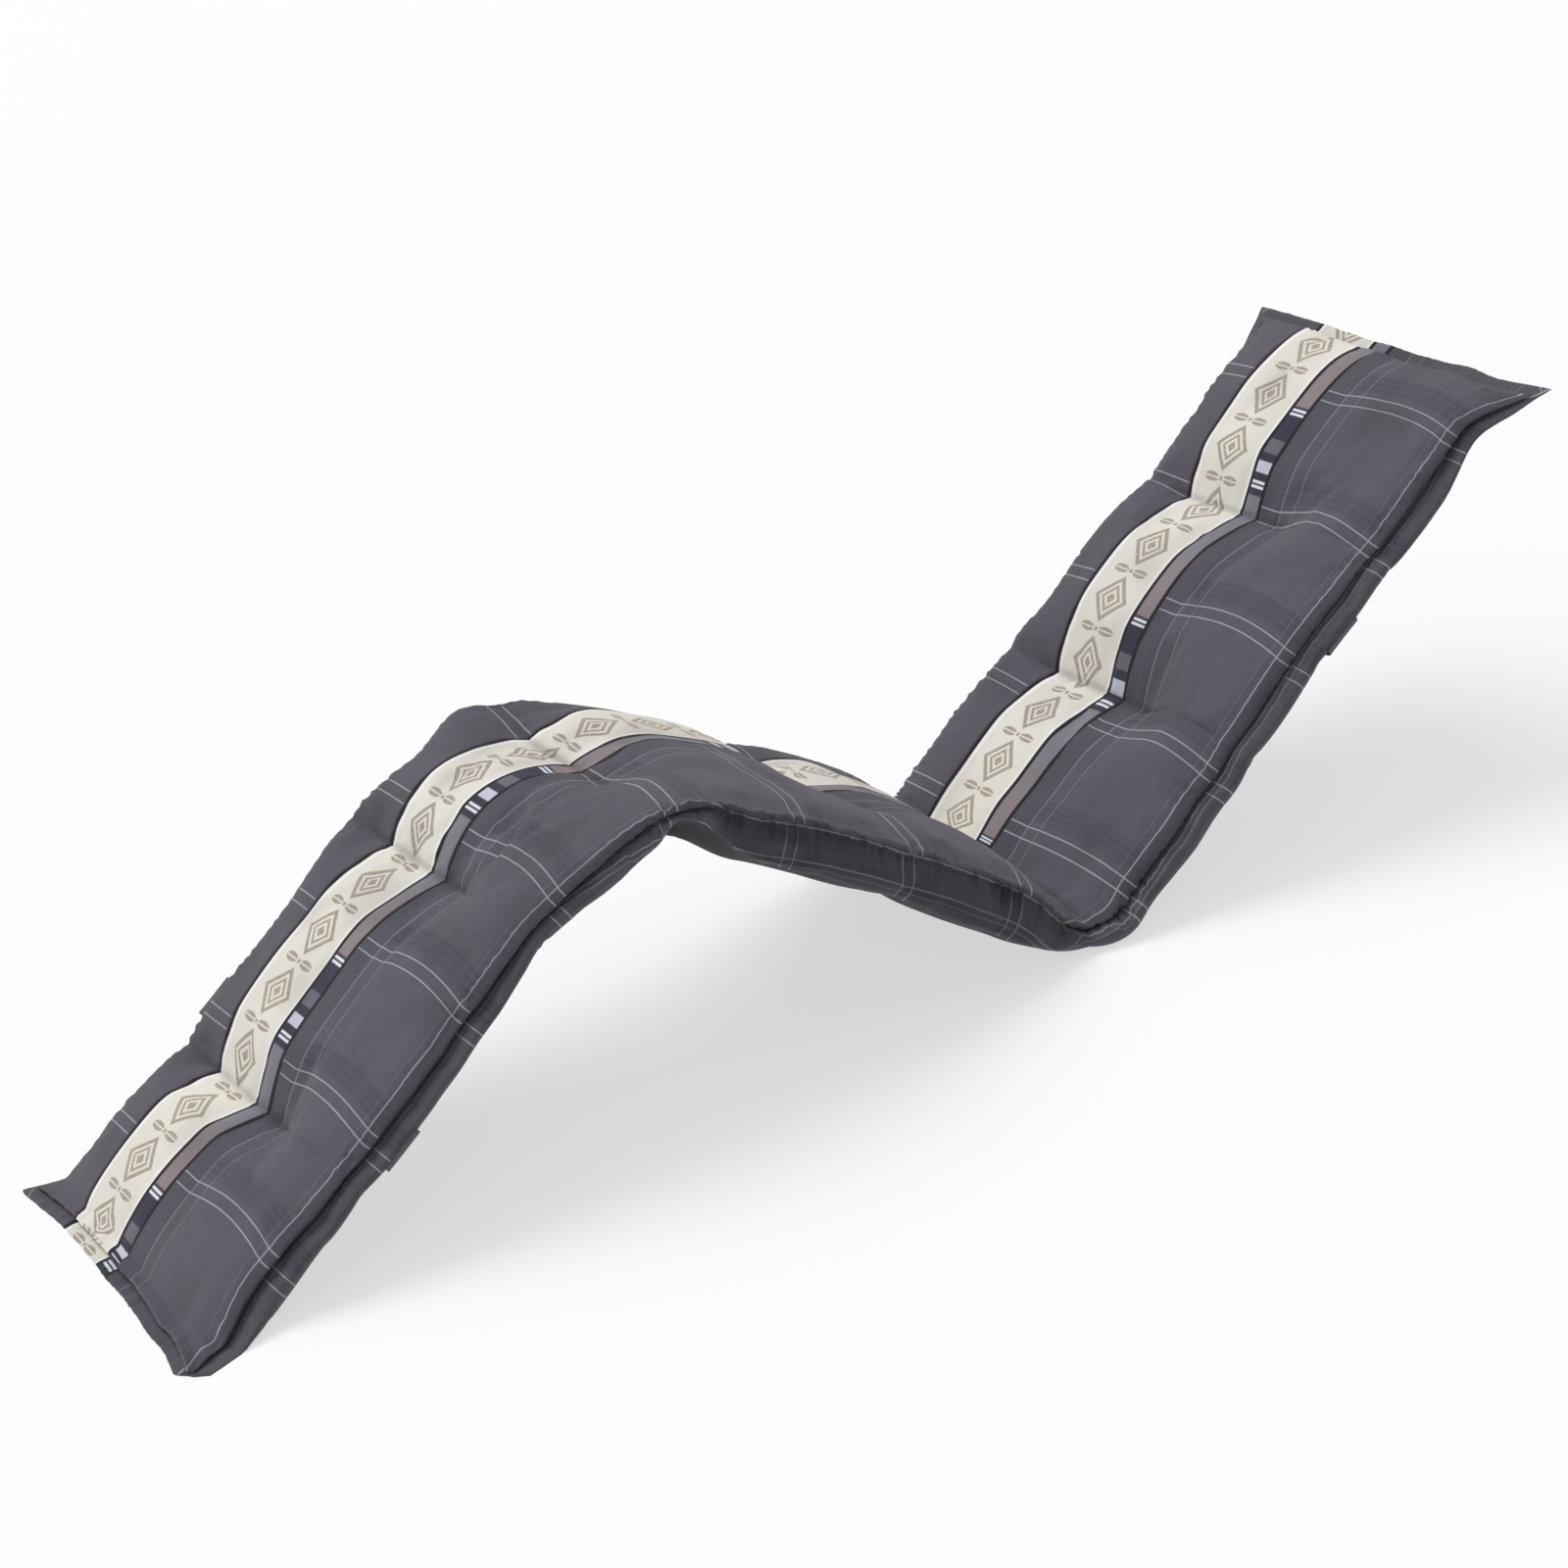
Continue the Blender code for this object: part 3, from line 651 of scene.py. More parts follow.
folds = {
    "gatherPitch": 0.013, "gatherReach": 0.016,
    "seamGathers": 0.0020,       # depth of the top's gathers at its seam
    "borderGathers": 0.0030, "borderReach": 0.014,
    "seatGathers": 0.0042, "seatBelow": 0.006, "seatReach": 0.013,
    "seamHold": 0.0016,          # the seam itself keeps its line
    "puckers": [                 # where the cloth gathers more: station, reach, how much more
        (0.640, 0.045, 1.2), (1.170, 0.045, 1.1), (1.440, 0.035, 0.8),
    ],
    # broad, soft unevenness of the filling, and a finer one: depth, pitch across and along
    "soft": (0.0016, 0.045, 0.060), "fine": (0.00064, 0.018, 0.030),
    "longFolds": (0.0016, 0.085, 0.010),     # lengthwise folds of the border
    # soft folds that fan out from the near end of each sewn channel, and the two without them
    "tuftRays": 0.0030, "tuftReach": 0.034, "tuftAcross": 0.052, "tuftHeart": 0.012,
    "noTuft": (0.633, 1.122),
    # shares of the painted shade in creases, folds, grooves, corners, the valley and low on the
    # sides, and how wide the creases are
    "creaseShade": 0.35, "creaseWide": 0.0040, "foldShade": 0.22,
    "grooveShade": 0.74, "grooveWide": 0.0046, "borderShade": 0.10, "seatShade": 0.48,
    "seatTopShade": 0.07, "cornerShade": 0.30,
    "valleyShade": 0.60, "valleyTop": (1.112, 0.010), "valleySide": (1.114, 0.011, 0.026),
}


def wander(x, pitch, seed):
    # smooth unevenness between -1 and 1 along one way: random heights, one each pitch
    heights = np.random.default_rng(seed).uniform(-1.0, 1.0, 4096)
    place = np.asarray(x) / pitch + 1000.0
    low = np.floor(place).astype(int)
    t = ramp(place - low)
    return heights[low % 4096] * (1.0 - t) + heights[(low + 1) % 4096] * t


def wanderBoth(x, y, pitchX, pitchY, seed):
    # the same over a surface
    heights = np.random.default_rng(seed).uniform(-1.0, 1.0, (512, 512))
    placeX, placeY = x / pitchX + 100.0, y / pitchY + 100.0
    lowX, lowY = np.floor(placeX).astype(int), np.floor(placeY).astype(int)
    tx, ty = ramp(placeX - lowX), ramp(placeY - lowY)
    a, b = lowX % 512, (lowX + 1) % 512
    c, d = lowY % 512, (lowY + 1) % 512
    return ((heights[a, c] * (1 - tx) + heights[b, c] * tx) * (1 - ty)
            + (heights[a, d] * (1 - tx) + heights[b, d] * tx) * ty)


def gathers(along, seed):
    # short folds square to a seam, unevenly spaced and unevenly deep
    pitch = folds["gatherPitch"]
    bent = along + 0.006 * wander(along, 0.03, seed)
    wave = np.cos(2 * np.pi * bent / pitch) * 0.6 + wander(along, pitch * 0.55, seed + 1) * 0.7
    return wave * (0.35 + 0.65 * ramp(0.5 + 0.8 * wander(along, 0.05, seed + 2)))


def gridNormals(points):
    # normals of a grid from its two directions
    alongRows = np.gradient(points, axis=0)
    alongColumns = np.gradient(points, axis=1)
    normal = np.cross(alongColumns, alongRows)
    length = np.linalg.norm(normal, axis=-1, keepdims=True)
    return normal / np.maximum(length, 1e-9)


def topFolds(share, station):
    # height of the small folds of the top, square to it
    across = share * pad["halfTop"]
    toSide = (1.0 - np.abs(share)) * pad["halfTop"]
    toEnd = np.minimum(station, padLength - station)
    sideGathers = np.where(share > 0, gathers(station, 11), gathers(station, 31))
    fold = folds["seamGathers"] * (np.exp(-toSide / folds["gatherReach"]) * sideGathers
                                   + np.exp(-toEnd / folds["gatherReach"]) * gathers(across, 51))
    for name, seed in (("soft", 71), ("fine", 73)):
        depth, pitchAcross, pitchAlong = folds[name]
        fold += depth * wanderBoth(across, station, pitchAcross, pitchAlong, seed)
    for number, row in enumerate(pad["channels"]):
        if row[0] in folds["noTuft"]:
            continue
        # rays: cos 3a + cos 5a / 2 round the tuft, highest a little way from it
        dx = across - folds["tuftAcross"]
        ds = station - row[0]
        away = np.hypot(dx, ds)
        near = away / folds["tuftHeart"]
        angle = np.arctan2(ds, dx)
        rays = np.cos(3.0 * angle + 0.6 * np.sin(number * 2.1))
        rays = rays + 0.5 * np.cos(5.0 * angle + number)
        fold += (folds["tuftRays"] * rays * near / (1 + near**2)
                 * np.exp(-away / folds["tuftReach"]))
    return fold


def borderFolds(rimShare, rimStation, down, across, seed):
    # gathers of the border strip: deepest at the seam, over the whole depth on the seat
    along = np.where(np.abs(rimShare) > 0.9999, rimStation, across + 3.0)
    along = along + np.where(rimShare > 0, 0.0, 5.0)
    seat = seatShare(rimStation)
    depth = folds["borderGathers"] * np.exp(-down / folds["borderReach"])
    depth = depth * (1.0 + puckering(rimStation))
    below = np.abs(down - folds["seatBelow"])
    depth = depth + seat * folds["seatGathers"] * np.exp(-below / folds["seatReach"])
    longDepth, pitchAlong, pitchDown = folds["longFolds"]
    long = wanderBoth(along + 0.4 * down, down, pitchAlong, pitchDown, seed + 3)
    long = (0.4 + 0.6 * seat) * longDepth * long * ramp(down / 0.012)
    return depth * gathers(along, seed) + long


def puckering(station):
    # how much more the cloth gathers where the pad bends
    return sum(more * np.exp(-((station - place) / reach) ** 2)
               for place, reach, more in folds["puckers"])


def topShade(share, station, fold):
    # painted shade on the top, as a share of the shade colour: in the sewn channels, in the folds,
    # at the corners, over the whole seat, and where the seat's near side meets the back
    gaps = np.stack([np.abs(station - row[0]) for row in pad["channels"]])
    paintedShade = np.exp(-(np.min(gaps, axis=0) / folds["creaseWide"]) ** 2)
    paintedShade = paintedShade * channelReach(share, station) * ramp((0.45 - share) / 0.3)
    middle, reach = folds["valleyTop"]
    valley = np.exp(-((station - middle) / reach) ** 2) * ramp((share - 0.3) / 0.6)
    shade = (folds["creaseShade"] * paintedShade + folds["foldShade"] * -fold / 0.002
             + folds["seatTopShade"] * seatShare(station) + 0.5 * folds["valleyShade"] * valley
             + folds["cornerShade"] * earShare(share, station))
    return np.clip(shade, 0.0, 0.6)


def borderShade(rimShare, rimStation, fromSeam, fold):
    # painted shade on the border: in the seam's groove, in the gathers, at the valley's near side,
    # and lower down on every side, most on the seat's side
    seat = seatShare(rimStation) * (np.abs(rimShare) > 0.999)
    groove = np.exp(-(fromSeam / folds["grooveWide"]) ** 2) * (1.0 - 0.45 * seat)
    middle, reach, reachDown = folds["valleySide"]
    valley = np.exp(-((rimStation - middle) / reach) ** 2 - (fromSeam / reachDown) ** 2)
    below = folds["borderShade"] + (folds["seatShade"] - folds["borderShade"]) * seat
    shade = (folds["grooveShade"] * groove
             + folds["foldShade"] * np.clip(-fold / 0.0014, 0.0, 1.6)
             + folds["valleyShade"] * valley * (rimShare > 0.999)
             + below * ramp(fromSeam / 0.006))
    return np.clip(shade, 0.0, 0.85)


# Materials

cloth = {
    "grey": (86, 84, 93), "shade": (66, 64, 75), "line": (182, 182, 190),
    "cream": (226, 221, 212), "white": (236, 235, 232), "motif": (158, 147, 132),
    "black": (24, 20, 28), "mauve": (88, 62, 76), "taupe": (139, 127, 129),
    "taupeGrey": (126, 126, 136), "navy": (48, 48, 66), "bar": (226, 229, 238),
    "light": (202, 202, 218), "greyBlock": (104, 102, 114), "under": (50, 49, 54),
    "paintedShade": (20, 19, 24),      # the colour of the painted shade, in creases, grooves and low on the sides
    "threadPitch": 0.0011, "underPitch": 0.0012,
    "band": (-0.129, -0.034), "stripe": (-0.034, -0.001),    # metres across from the middle
    "rowLines": (0.0065, 0.62, 0.0014),      # half their gap, strength, width
    "longLines": [               # metres across from the middle, strength, width
        (0.033, 0.34, 0.0013), (0.053, 0.26, 0.0013), (0.196, 0.68, 0.0014),
        (0.185, 0.10, 0.0014), (0.230, 0.48, 0.0014), (0.237, 0.25, 0.0014),
    ],
    "motifRepeat": 0.0705, "lozenge": (0.0285, 0.0290),      # half its length and width
    "leaf": (0.0165, 0.0125, 0.0050),        # its middle from the band's, half length, width
    "bars": (1.162, 1.198, -0.182, 1.782),   # white bars of the stripe, in rows
    "sheen": 0.12, "sheenRoughness": 0.45, "specular": 0.25,
}


def tinted(name, share=1.0):
    # a cloth colour from the table, times a share, from the screen's 0-255 to linear light
    values = np.array(cloth[name], dtype=float) * share / 255.0
    values = np.where(values <= 0.04045, values / 12.92, ((values + 0.055) / 1.055) ** 2.4)
    return (*values.tolist(), 1.0)


class Nodes:
    # short names for the nodes that a cloth material is made of
    def __init__(self, name):
        self.material = bpy.data.materials.new(name)
        self.material.use_nodes = True
        self.tree = self.material.node_tree
        self.shader = self.tree.nodes["Principled BSDF"]

    def put(self, value, socket):
        if isinstance(value, bpy.types.NodeSocket):
            self.tree.links.new(value, socket)
        elif isinstance(value, tuple):
            socket.default_value = value
        else:
            socket.default_value = float(value)

    def calc(self, operation, *values):
        node = self.tree.nodes.new("ShaderNodeMath")
        node.operation = operation
        for value, socket in zip(values, node.inputs):
            self.put(value, socket)
        return node.outputs[0]

    def plus(self, first, second):
        return self.calc("ADD", first, second)

    def minus(self, first, second):
        return self.calc("SUBTRACT", first, second)

    def times(self, first, second):
        return self.calc("MULTIPLY", first, second)

    def over(self, first, second):
        return self.calc("DIVIDE", first, second)

    def square(self, value):
        return self.calc("POWER", value, 2.0)

    def most(self, first, *others):
        for other in others:
            first = self.calc("MAXIMUM", first, other)
        return first

    def slope(self, value, low, high, start=0.0, stop=1.0):
        # start below low, stop above high, an S-shaped ramp between
        node = self.tree.nodes.new("ShaderNodeMapRange")
        node.interpolation_type = "SMOOTHSTEP"
        for item, socket in zip((value, low, high, start, stop), node.inputs):
            self.put(item, socket)
        return node.outputs[0]

    def window(self, value, low, high, soft):
        # 1 between low and high, 0 outside
        rise = self.slope(value, low - soft, low + soft)
        fall = self.slope(value, high - soft, high + soft, 1.0, 0.0)
        return self.times(rise, fall)

    def line(self, value, place, width):
        # 1 on a line of that width, with soft edges
        gap = self.calc("ABSOLUTE", self.minus(value, place))
        return self.slope(gap, width * 0.3, width * 0.7, 1.0, 0.0)

    def mix(self, share, first, second):
        node = self.tree.nodes.new("ShaderNodeMix")
        node.data_type = "RGBA"
        node.clamp_factor = True
        self.put(share, node.inputs[0])
        self.put(first, node.inputs[6])
        self.put(second, node.inputs[7])
        return node.outputs[2]

    def noise(self, vector, scale, detail=3.0):
        node = self.tree.nodes.new("ShaderNodeTexNoise")
        node.inputs["Scale"].default_value = scale
        node.inputs["Detail"].default_value = detail
        self.tree.links.new(vector, node.inputs["Vector"])
        return node.outputs["Fac"]

    def combine(self, x, y, z=0.0):
        node = self.tree.nodes.new("ShaderNodeCombineXYZ")
        for value, socket in zip((x, y, z), node.inputs):
            self.put(value, socket)
        return node.outputs[0]

    def withPaintedShade(self, colour):
        # painted shade: darker where the mesh's own attribute says so, in creases and low on the
        # sides
        node = self.tree.nodes.new("ShaderNodeAttribute")
        node.attribute_name = "shade"
        return self.mix(node.outputs["Fac"], colour, tinted("paintedShade"))

    def clothCoordinates(self):
        node = self.tree.nodes.new("ShaderNodeUVMap")
        node.uv_map = "cloth"
        split = self.tree.nodes.new("ShaderNodeSeparateXYZ")
        self.tree.links.new(node.outputs[0], split.inputs[0])
        return node.outputs[0], split.outputs[0], split.outputs[1]

    def weave(self, across, along, pitch):
        # plain weave: warp and weft threads lie on top by turns, each rounded
        a = self.times(across, math.pi / pitch)
        b = self.times(along, math.pi / pitch)
        warp = self.calc("ABSOLUTE", self.calc("SINE", a))
        weft = self.calc("ABSOLUTE", self.calc("SINE", b))
        turn = self.times(self.calc("SINE", self.times(a, 0.5)),
                          self.calc("SINE", self.times(b, 0.5)))
        lifted = self.slope(turn, -0.2, 0.2)
        return self.plus(self.times(warp, lifted), self.times(weft, self.minus(1.0, lifted)))

    def finish(self, colour, bumps, roughness):
        self.put(colour, self.shader.inputs["Base Color"])
        self.put(roughness, self.shader.inputs["Roughness"])
        bump = self.tree.nodes.new("ShaderNodeBump")
        bump.inputs["Strength"].default_value = 0.5
        bump.inputs["Distance"].default_value = 0.0006
        self.put(bumps, bump.inputs["Height"])
        self.tree.links.new(bump.outputs[0], self.shader.inputs["Normal"])
        self.shader.inputs["Sheen Weight"].default_value = cloth["sheen"]
        self.shader.inputs["Sheen Roughness"].default_value = cloth["sheenRoughness"]
        self.shader.inputs["Specular IOR Level"].default_value = cloth["specular"]
        return self.material


def printedCloth():
    # the woven check with the cream band and the narrow stripe, all in metres of cloth
    n = Nodes("printedCloth")
    vector, across, along = n.clothCoordinates()
    p = check["repeat"]
    fromRow = n.minus(along, check["firstRow"])
    toRow = n.calc("PINGPONG", fromRow, p / 2)
    inRow = n.calc("WRAP", n.over(fromRow, p), 1.0, 0.0)
    inTwo = n.calc("WRAP", n.over(fromRow, p), 1.8, -0.2)

    # melange of the grey yarns
    yarnA = n.noise(n.combine(n.times(across, 1500.0), n.times(along, 60.0)), 1.0, 2.0)
    yarnB = n.noise(n.combine(n.times(across, 60.0), n.times(along, 1500.0)), 1.0, 2.0)
    yarns = n.plus(yarnA, yarnB)
    cloudy = n.noise(vector, 9.0, 2.0)
    colour = n.mix(n.slope(yarns, 0.6, 1.4), tinted("grey", 0.93), tinted("grey", 1.07))
    colour = n.mix(n.times(n.slope(cloudy, 0.35, 0.7), 0.16), colour, tinted("shade"))

    # tonal bands with fine darker lines, beside the rows and beside the stripe, and painted shade
    # in a band along the top's edge and over its rim
    def fineLines(value):
        return n.calc("GREATER_THAN", n.calc("PINGPONG", value, 0.004), 0.0022)

    crossTone = n.times(n.window(inRow, 0.10, 0.27, 0.02),
                        n.plus(0.30, n.times(fineLines(along), 0.24)))
    crossTone = n.times(crossTone, n.slope(across, 0.0, 0.02))
    longTone = n.times(n.window(across, 0.0, 0.030, 0.002),
                       n.plus(0.34, n.times(fineLines(across), 0.28)))
    # painted shade: the band from the pale edge line over the rim is drawn darker
    rimPaintedShade = n.times(n.window(across, 0.198, 0.216, 0.002), 0.34)
    colour = n.mix(n.most(crossTone, longTone, rimPaintedShade), colour, tinted("shade"))

    # pale lines of the check: two across at each row, and the lengthwise ones
    gap, strength, width = cloth["rowLines"]
    lines = [n.times(n.line(toRow, gap, width), strength)]
    for place, strength, width in cloth["longLines"]:
        lines.append(n.times(n.line(across, place, width), strength))
    colour = n.mix(n.most(*lines), colour, tinted("line"))

    # chain of lozenges and leaf pairs: a is metres along from a lozenge's middle, b across
    low, high = cloth["band"]
    b = n.calc("ABSOLUTE", n.minus(across, (low + high) / 2))
    a = n.calc("PINGPONG", along, cloth["motifRepeat"] / 2)
    apart = n.minus(cloth["motifRepeat"] / 2, a)
    lozenge = n.plus(n.over(a, cloth["lozenge"][0]), n.over(b, cloth["lozenge"][1]))
    ring = n.window(lozenge, 0.74, 0.98, 0.03)
    innerRing = n.window(lozenge, 0.40, 0.57, 0.03)
    heart = n.slope(lozenge, 0.20, 0.26, 1.0, 0.0)
    middle, long, wide = cloth["leaf"]
    leaf = n.plus(n.square(n.over(n.minus(b, middle), long)), n.square(n.over(apart, wide)))
    leaf = n.slope(leaf, 0.85, 1.15, 1.0, 0.0)
    leaf = n.times(leaf, n.minus(1.0, n.line(apart, 0.0, 0.0016)))
    dot = n.slope(n.plus(n.square(b), n.square(apart)), 0.0000050, 0.0000080, 1.0, 0.0)
    motif = n.most(ring, innerRing, heart, leaf, dot)

    # cream band: whiter edges, black edging with a mauve thread beside it
    worn = n.slope(n.noise(vector, 420.0, 2.0), 0.25, 0.6, 0.55, 1.0)
    band = n.mix(n.slope(cloudy, 0.3, 0.7), tinted("cream"), tinted("cream", 0.965))
    band = n.mix(n.times(motif, worn), band, tinted("motif"))
    edges = n.slope(b, (high - low) / 2 - 0.006, (high - low) / 2 - 0.0045)
    band = n.mix(edges, band, tinted("white"))
    colour = n.mix(n.window(across, low, high, 0.0006), colour, band)
    mauve = n.window(across, low - 0.0085, low - 0.004, 0.0012)
    colour = n.mix(n.times(mauve, 0.55), colour, tinted("mauve"))
    colour = n.mix(n.window(across, low - 0.0052, low, 0.0006), colour, tinted("black"))

    # narrow stripe: taupe, then navy with its blocks and white bars, all counted in rows
    left, right = cloth["stripe"]
    taupe = n.mix(n.slope(inTwo, 0.1, 0.75), tinted("taupe"), tinted("taupeGrey"))
    stripe = n.mix(n.window(inTwo, -0.15, 1.10, 0.012), tinted("navy"), taupe)
    stripe = n.mix(n.window(inTwo, 1.43, 1.55, 0.008), stripe, tinted("greyBlock"))
    stripe = n.mix(n.window(inTwo, 1.27, 1.36, 0.006), stripe, tinted("light"))
    for place in cloth["bars"]:
        stripe = n.mix(n.line(inTwo, place, 0.021), stripe, tinted("bar"))
    ribs = n.slope(n.calc("PINGPONG", along, 0.0009), 0.0002, 0.0007, 0.86, 1.0)
    stripe = n.mix(ribs, tinted("navy"), stripe)
    colour = n.mix(n.window(across, left, right, 0.0006), colour, stripe)
    edging = n.most(n.window(across, left - 0.0015, left + 0.0042, 0.0006),
                    n.window(across, right - 0.0055, right + 0.0006, 0.0007))
    colour = n.mix(edging, colour, tinted("black"))

    weave = n.weave(across, along, cloth["threadPitch"])
    bumps = n.plus(n.times(weave, 0.6), n.times(yarns, 0.25))
    bumps = n.plus(bumps, n.times(motif, 0.2))
    return n.finish(n.withPaintedShade(colour), bumps, n.slope(yarns, 0.5, 1.5, 0.95, 0.80))


def undersideCloth():
    # the plain dark cloth of the underside
    n = Nodes("undersideCloth")
    vector, across, along = n.clothCoordinates()
    yarns = n.noise(n.combine(n.times(across, 900.0), n.times(along, 90.0)), 1.0, 2.0)
    cloudy = n.noise(vector, 7.0, 3.0)
    colour = n.mix(n.slope(yarns, 0.3, 0.7), tinted("under", 0.90), tinted("under", 1.10))
    colour = n.mix(n.times(n.slope(cloudy, 0.4, 0.7), 0.25), colour, tinted("under", 0.8))
    weave = n.weave(across, along, cloth["underPitch"])
    bumps = n.plus(n.times(weave, 0.6), n.times(yarns, 0.4))
    return n.finish(colour, bumps, n.slope(cloudy, 0.3, 0.7, 0.95, 0.85))


# The cover

cover = {
    "rowsPerPanel": 58, "columns": 84, "upperRows": 6, "lowerRows": 13,
    "fill": 0.7, "underHalf": 0.21,
}


def swollenForm(stations, shares):
    # the fine grids, moved as the simulation moved the coarse ones, and the border's depth
    # below the shoulder, as the cloth was cut
    coarseStations, coarseShares = gridLines(swelling["rowsPerPanel"], swelling["columns"])
    moves = swell(coarseStations, coarseShares)
    top, under, border = padForm(stations, shares, cover["upperRows"], cover["lowerRows"])
    down = arcDown(border)
    alongWeights = between(coarseStations, stations)
    acrossWeights = between(coarseShares, shares)
    for grid, moved in ((top, moves[0]), (under, moves[1])):
        grid += np.einsum("ia,abc,jb->ijc", alongWeights, moved, acrossWeights, optimize=True)
    place = rimPlace(coarseStations, coarseShares, stations, shares)
    rimWeights = between(np.arange(moves[2].shape[1] + 1.0), place, closed=True)
    coarseRows, fineRows = [
        np.concatenate([np.linspace(0, 1, size["upperRows"] + 1),
                        1 + np.linspace(0, 1, size["lowerRows"] + 1)[1:]])
        for size in (swelling, cover)
    ]
    rowWeights = between(coarseRows, fineRows)
    border += np.einsum("ka,abc,pb->kpc", rowWeights, closeLoop(moves[2]), rimWeights,
                        optimize=True)
    return top, under, border, down


def addFolds(stations, shares, top, under, border, fromSeam):
    # the small folds, square to the surface; returns their heights
    seamRow = cover["upperRows"]
    rimShare, rimStation = rimLoop(stations, shares)
    topFold = topFolds(*np.meshgrid(shares, stations))
    top += gridNormals(top) * topFold[..., None]
    ring = np.concatenate([border[:, -1:], border, border[:, :1]], axis=1)
    borderNormal = gridNormals(ring)[:, 1:-1]
    across = rimShare * pad["halfTop"]
    fold = np.where(fromSeam > 0, borderFolds(rimShare, rimStation, fromSeam, across, 91),
                    0.6 * borderFolds(rimShare, rimStation, -fromSeam, across, 91))
    hold = 1.0 - np.exp(-(fromSeam / folds["seamHold"]) ** 2)
    border += borderNormal * (fold * hold)[..., None]
    # the border's first and last rows go over into the rims of the top and the underside
    blend = np.linspace(0.0, 1.0, len(border))[:, None, None]
    border += (rimOf(top) - border[0]) * (1 - np.clip(blend * len(border) / seamRow, 0, 1))
    border += (rimOf(under) - border[-1]) * np.clip(blend * 3.0 - 2.0, 0, 1)
    for grid in (top, under, border):
        grid[..., 2] = np.maximum(grid[..., 2], 0.0)
    return topFold, fold


def topCloth(share, station):
    # cloth coordinates of the top: on the seat the band slips away and the edge drops
    dropped = check["seatDrop"] * ramp((share - 0.5) / 0.5)
    slipped = check["seatSlip"] * ramp((share + 1.0) / 0.4) * ramp((0.6 - share) / 0.5)
    across = share * check["topEdge"] + (slipped - dropped) * seatShare(station)
    return np.stack([across, clothAlong(station) - rowArc(share, station)], axis=-1)


def borderCloth(number, stations, shares, depth):
    # cloth coordinates of one side's border strip: above its seam, and below it, where the
    # strip was sewn on with its own shift (0 foot, 1 near side, 2 head, 3 far side)
    side = 1.0 if number < 2 else -1.0
    if number in (1, 3):
        along = clothAlong(stations if number == 1 else stations[::-1])
        v = np.repeat(along[None], len(depth), axis=0)
        dropped = check["seatDrop"] * seatShare(stations) * (1.0 if number == 1 else 0.0)
        u = side * (check["topEdge"] + depth) - dropped
        return np.stack([u, v], axis=-1), np.stack([u, v + check["borderShift"]], axis=-1)
    end = 0.0 if number == 0 else clothAlong(np.array([padLength]))[0]
    across = (shares if number == 0 else shares[::-1]) * check["topEdge"]
    u = np.repeat(across[None], len(depth), axis=0)
    v = end - side * depth
    return np.stack([u, v], axis=-1), np.stack([u + side * check["endShift"], v], axis=-1)


def makeCover():
    stations, shares = gridLines(cover["rowsPerPanel"], cover["columns"])
    share, station = np.meshgrid(shares, stations)
    top, under, border, down = swollenForm(stations, shares)
    seamRow = cover["upperRows"]
    fromSeam = down - down[seamRow]
    topFold, borderFold = addFolds(stations, shares, top, under, border, fromSeam)

    # one mesh, each part of it with its own stretch of cloth
    topIndex, underIndex, borderIndex = vertexGrids(*top.shape[:2], len(border))
    points = np.concatenate([top.reshape(-1, 3), under.reshape(-1, 3),
                             border[1:-1].reshape(-1, 3)])
    underCloth = np.stack([share * cover["underHalf"], clothAlong(station)], axis=-1)
    faces = [quads(topIndex), quads(underIndex, True)]
    clothParts = [quadsOf(topCloth(share, station), False), quadsOf(underCloth, True)]
    # painted shade of each point, stored below in the mesh's shade attribute; none on the underside
    darker = borderShade(*rimLoop(stations, shares), fromSeam, borderFold)
    shades = np.concatenate([topShade(share, station, topFold).ravel(),
                             np.zeros(under[..., 0].size), darker[1:-1].ravel()])
    rows, columns = len(stations) - 1, len(shares) - 1
    loop, downLoop = closeLoop(borderIndex), closeLoop(down)
    corners = np.cumsum([0, columns, rows, columns, rows])
    for number in range(4):
        sidePart = slice(corners[number], corners[number + 1] + 1)
        values = borderCloth(number, stations, shares, downLoop[:, sidePart])
        for rowsPart, cloths in zip((slice(0, seamRow + 1), slice(seamRow, None)), values):
            faces.append(quads(loop[rowsPart, sidePart], True))
            clothParts.append(quadsOf(cloths[rowsPart], True))
    slots = [np.full(len(part), int(number == 1)) for number, part in enumerate(faces)]
    mesh = makeMesh("cushionCover", points, np.concatenate(faces))
    layer = mesh.uv_layers.new(name="cloth")
    layer.data.foreach_set("uv", np.concatenate(clothParts).astype(np.float32).ravel())
    tone = mesh.attributes.new("shade", "FLOAT", "POINT")
    tone.data.foreach_set("value", shades.astype(np.float32))
    mesh.polygons.foreach_set("material_index", np.concatenate(slots).astype(np.int32))
    mesh.materials.append(printedCloth())
    mesh.materials.append(undersideCloth())
    thing = putInScene("cushionCover", mesh)
    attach(thing, "root")
    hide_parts("cushion")
    report(f"cover: {len(mesh.polygons)} faces")


# Fixing straps

straps = {
    "legStrap": {"node": "leg_strap", "station": 0.238, "slackFar": 0.016},
    "backStrap": {"node": "back_strap", "station": 1.522, "slackFar": 0.004},
    "width": 0.046, "thickness": 0.0016, "clearance": 0.0026,
    "acrossSteps": 48, "alongStep": 0.004, "wideSteps": 8, "uneven": 0.0005,
    "clothFrom": 0.10,           # where on the printed cloth the straps are cut
    "nearRows": 2,               # how many of the rows below the near end has
    # share of the border's puff, share of the slack, level on the side, metres above it
    "side": [(0.10, 0.0, 0.58, 0.0013), (0.62, 0.2, 0.48, 0.0030), (1.00, 0.9, 0.42, 0.0020),
             (1.00, 1.0, 0.20, -0.0010), (0.80, 0.7, 0.00, -0.0026)],
}


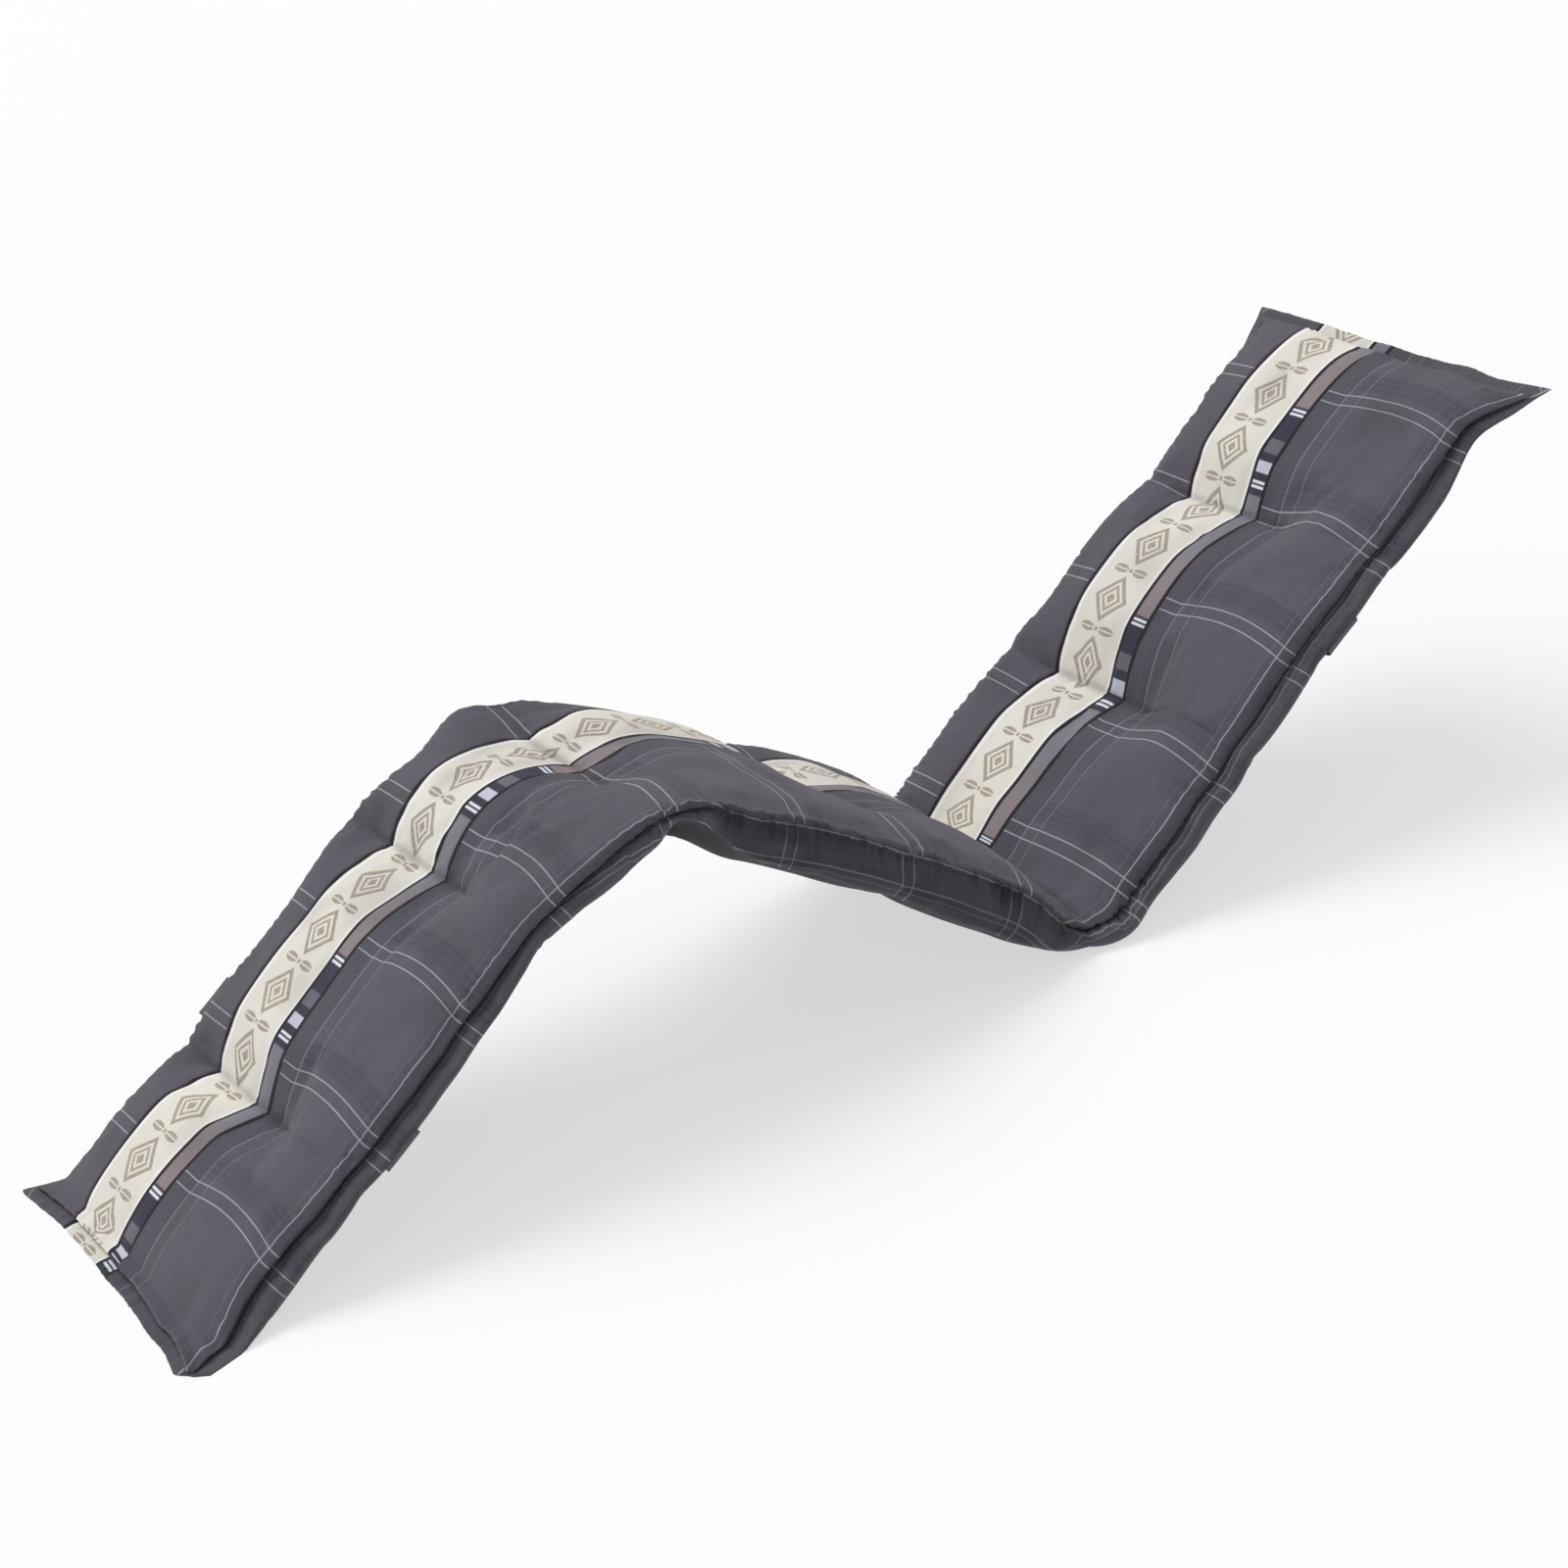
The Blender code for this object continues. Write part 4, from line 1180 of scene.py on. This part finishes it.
def strapRoute(strap):
    # the strap's middle line round the underside as (across, height) points
    station = np.array([strap["station"]])
    half = halfWidth(station)[0]
    roll = eased(pad["filling"], 6, station)[0]
    edge = underHeight(np.array([1.0]), station, 0.0)[0]
    side = topHeight(np.array([1.0]), station, 0.0)[0] - edge
    raised = eased(pad["nearEdge"], 2, station)[0]
    shares = np.linspace(1.0, -1.0, straps["acrossSteps"] + 1)[3:-3]
    bottom = underHeight(shares, np.full(len(shares), strap["station"]), 0.0)
    bottom = bottom - straps["clearance"] + ramp((shares - 0.75) / 0.25) * raised
    ends = []
    for sign, slack, edges, count, up in (
            (1.0, 0.0, "nearEdge", straps["nearRows"], raised),
            (-1.0, strap["slackFar"], "farEdge", len(straps["side"]), 0.0)):
        out = eased(pad[edges], 1, station)[0]
        ends.append([(sign * (half + roll * puff + slack * part + out),
                      edge + side * level + lift + up * (1.0 - level / 0.75))
                     for puff, part, level, lift in straps["side"][-count:]])
    return np.array(ends[0] + list(zip(shares * half, bottom)) + ends[1][::-1])


def smoothPath(points, spacing):
    # a curve through the points, cut into even steps (chord-length Catmull-Rom)
    gaps = np.linalg.norm(np.diff(points, axis=0), axis=1)
    at = np.concatenate([[0.0], np.cumsum(gaps)])
    steps = np.linspace(0.0, at[-1], max(8, round(at[-1] / spacing)) + 1)
    return np.stack([curveThrough(np.stack([at, points[:, axis]], axis=1), steps)
                     for axis in range(points.shape[1])], axis=1)


def makeStrap(name, material):
    strap = straps[name]
    route = smoothPath(strapRoute(strap), straps["alongStep"])
    wide = np.linspace(-0.5, 0.5, straps["wideSteps"] + 1) * straps["width"]
    at = np.concatenate([[0.0], np.cumsum(np.linalg.norm(np.diff(route, axis=0), axis=1))])
    along, across = np.meshgrid(strap["station"] + wide, route[:, 0])
    height = np.repeat(route[:, 1][:, None], len(wide), axis=1)
    points = carry(across, along, height)
    points += gridNormals(points) * (straps["uneven"] * wander(at, 0.02, 5))[:, None, None]
    grid = np.arange(points[..., 0].size).reshape(points.shape[:2])
    mesh = makeMesh(name, points.reshape(-1, 3), quads(grid))
    layer = mesh.uv_layers.new(name="cloth")
    values = np.stack(np.meshgrid(wide + straps["clothFrom"], at), axis=-1)
    layer.data.foreach_set("uv", quadsOf(values, False).astype(np.float32).ravel())
    mesh.materials.append(material)
    thing = putInScene(name, mesh)
    wall = thing.modifiers.new("thickness", "SOLIDIFY")
    wall.thickness = straps["thickness"]
    wall.offset = 0.0
    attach(thing, "root")
    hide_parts(strap["node"])
    report(f"{name}: {at[-1]:.3f} m long")


makeCover()
printed = bpy.data.materials["printedCloth"]
for strapName in ("legStrap", "backStrap"):
    makeStrap(strapName, printed)
report("straps")
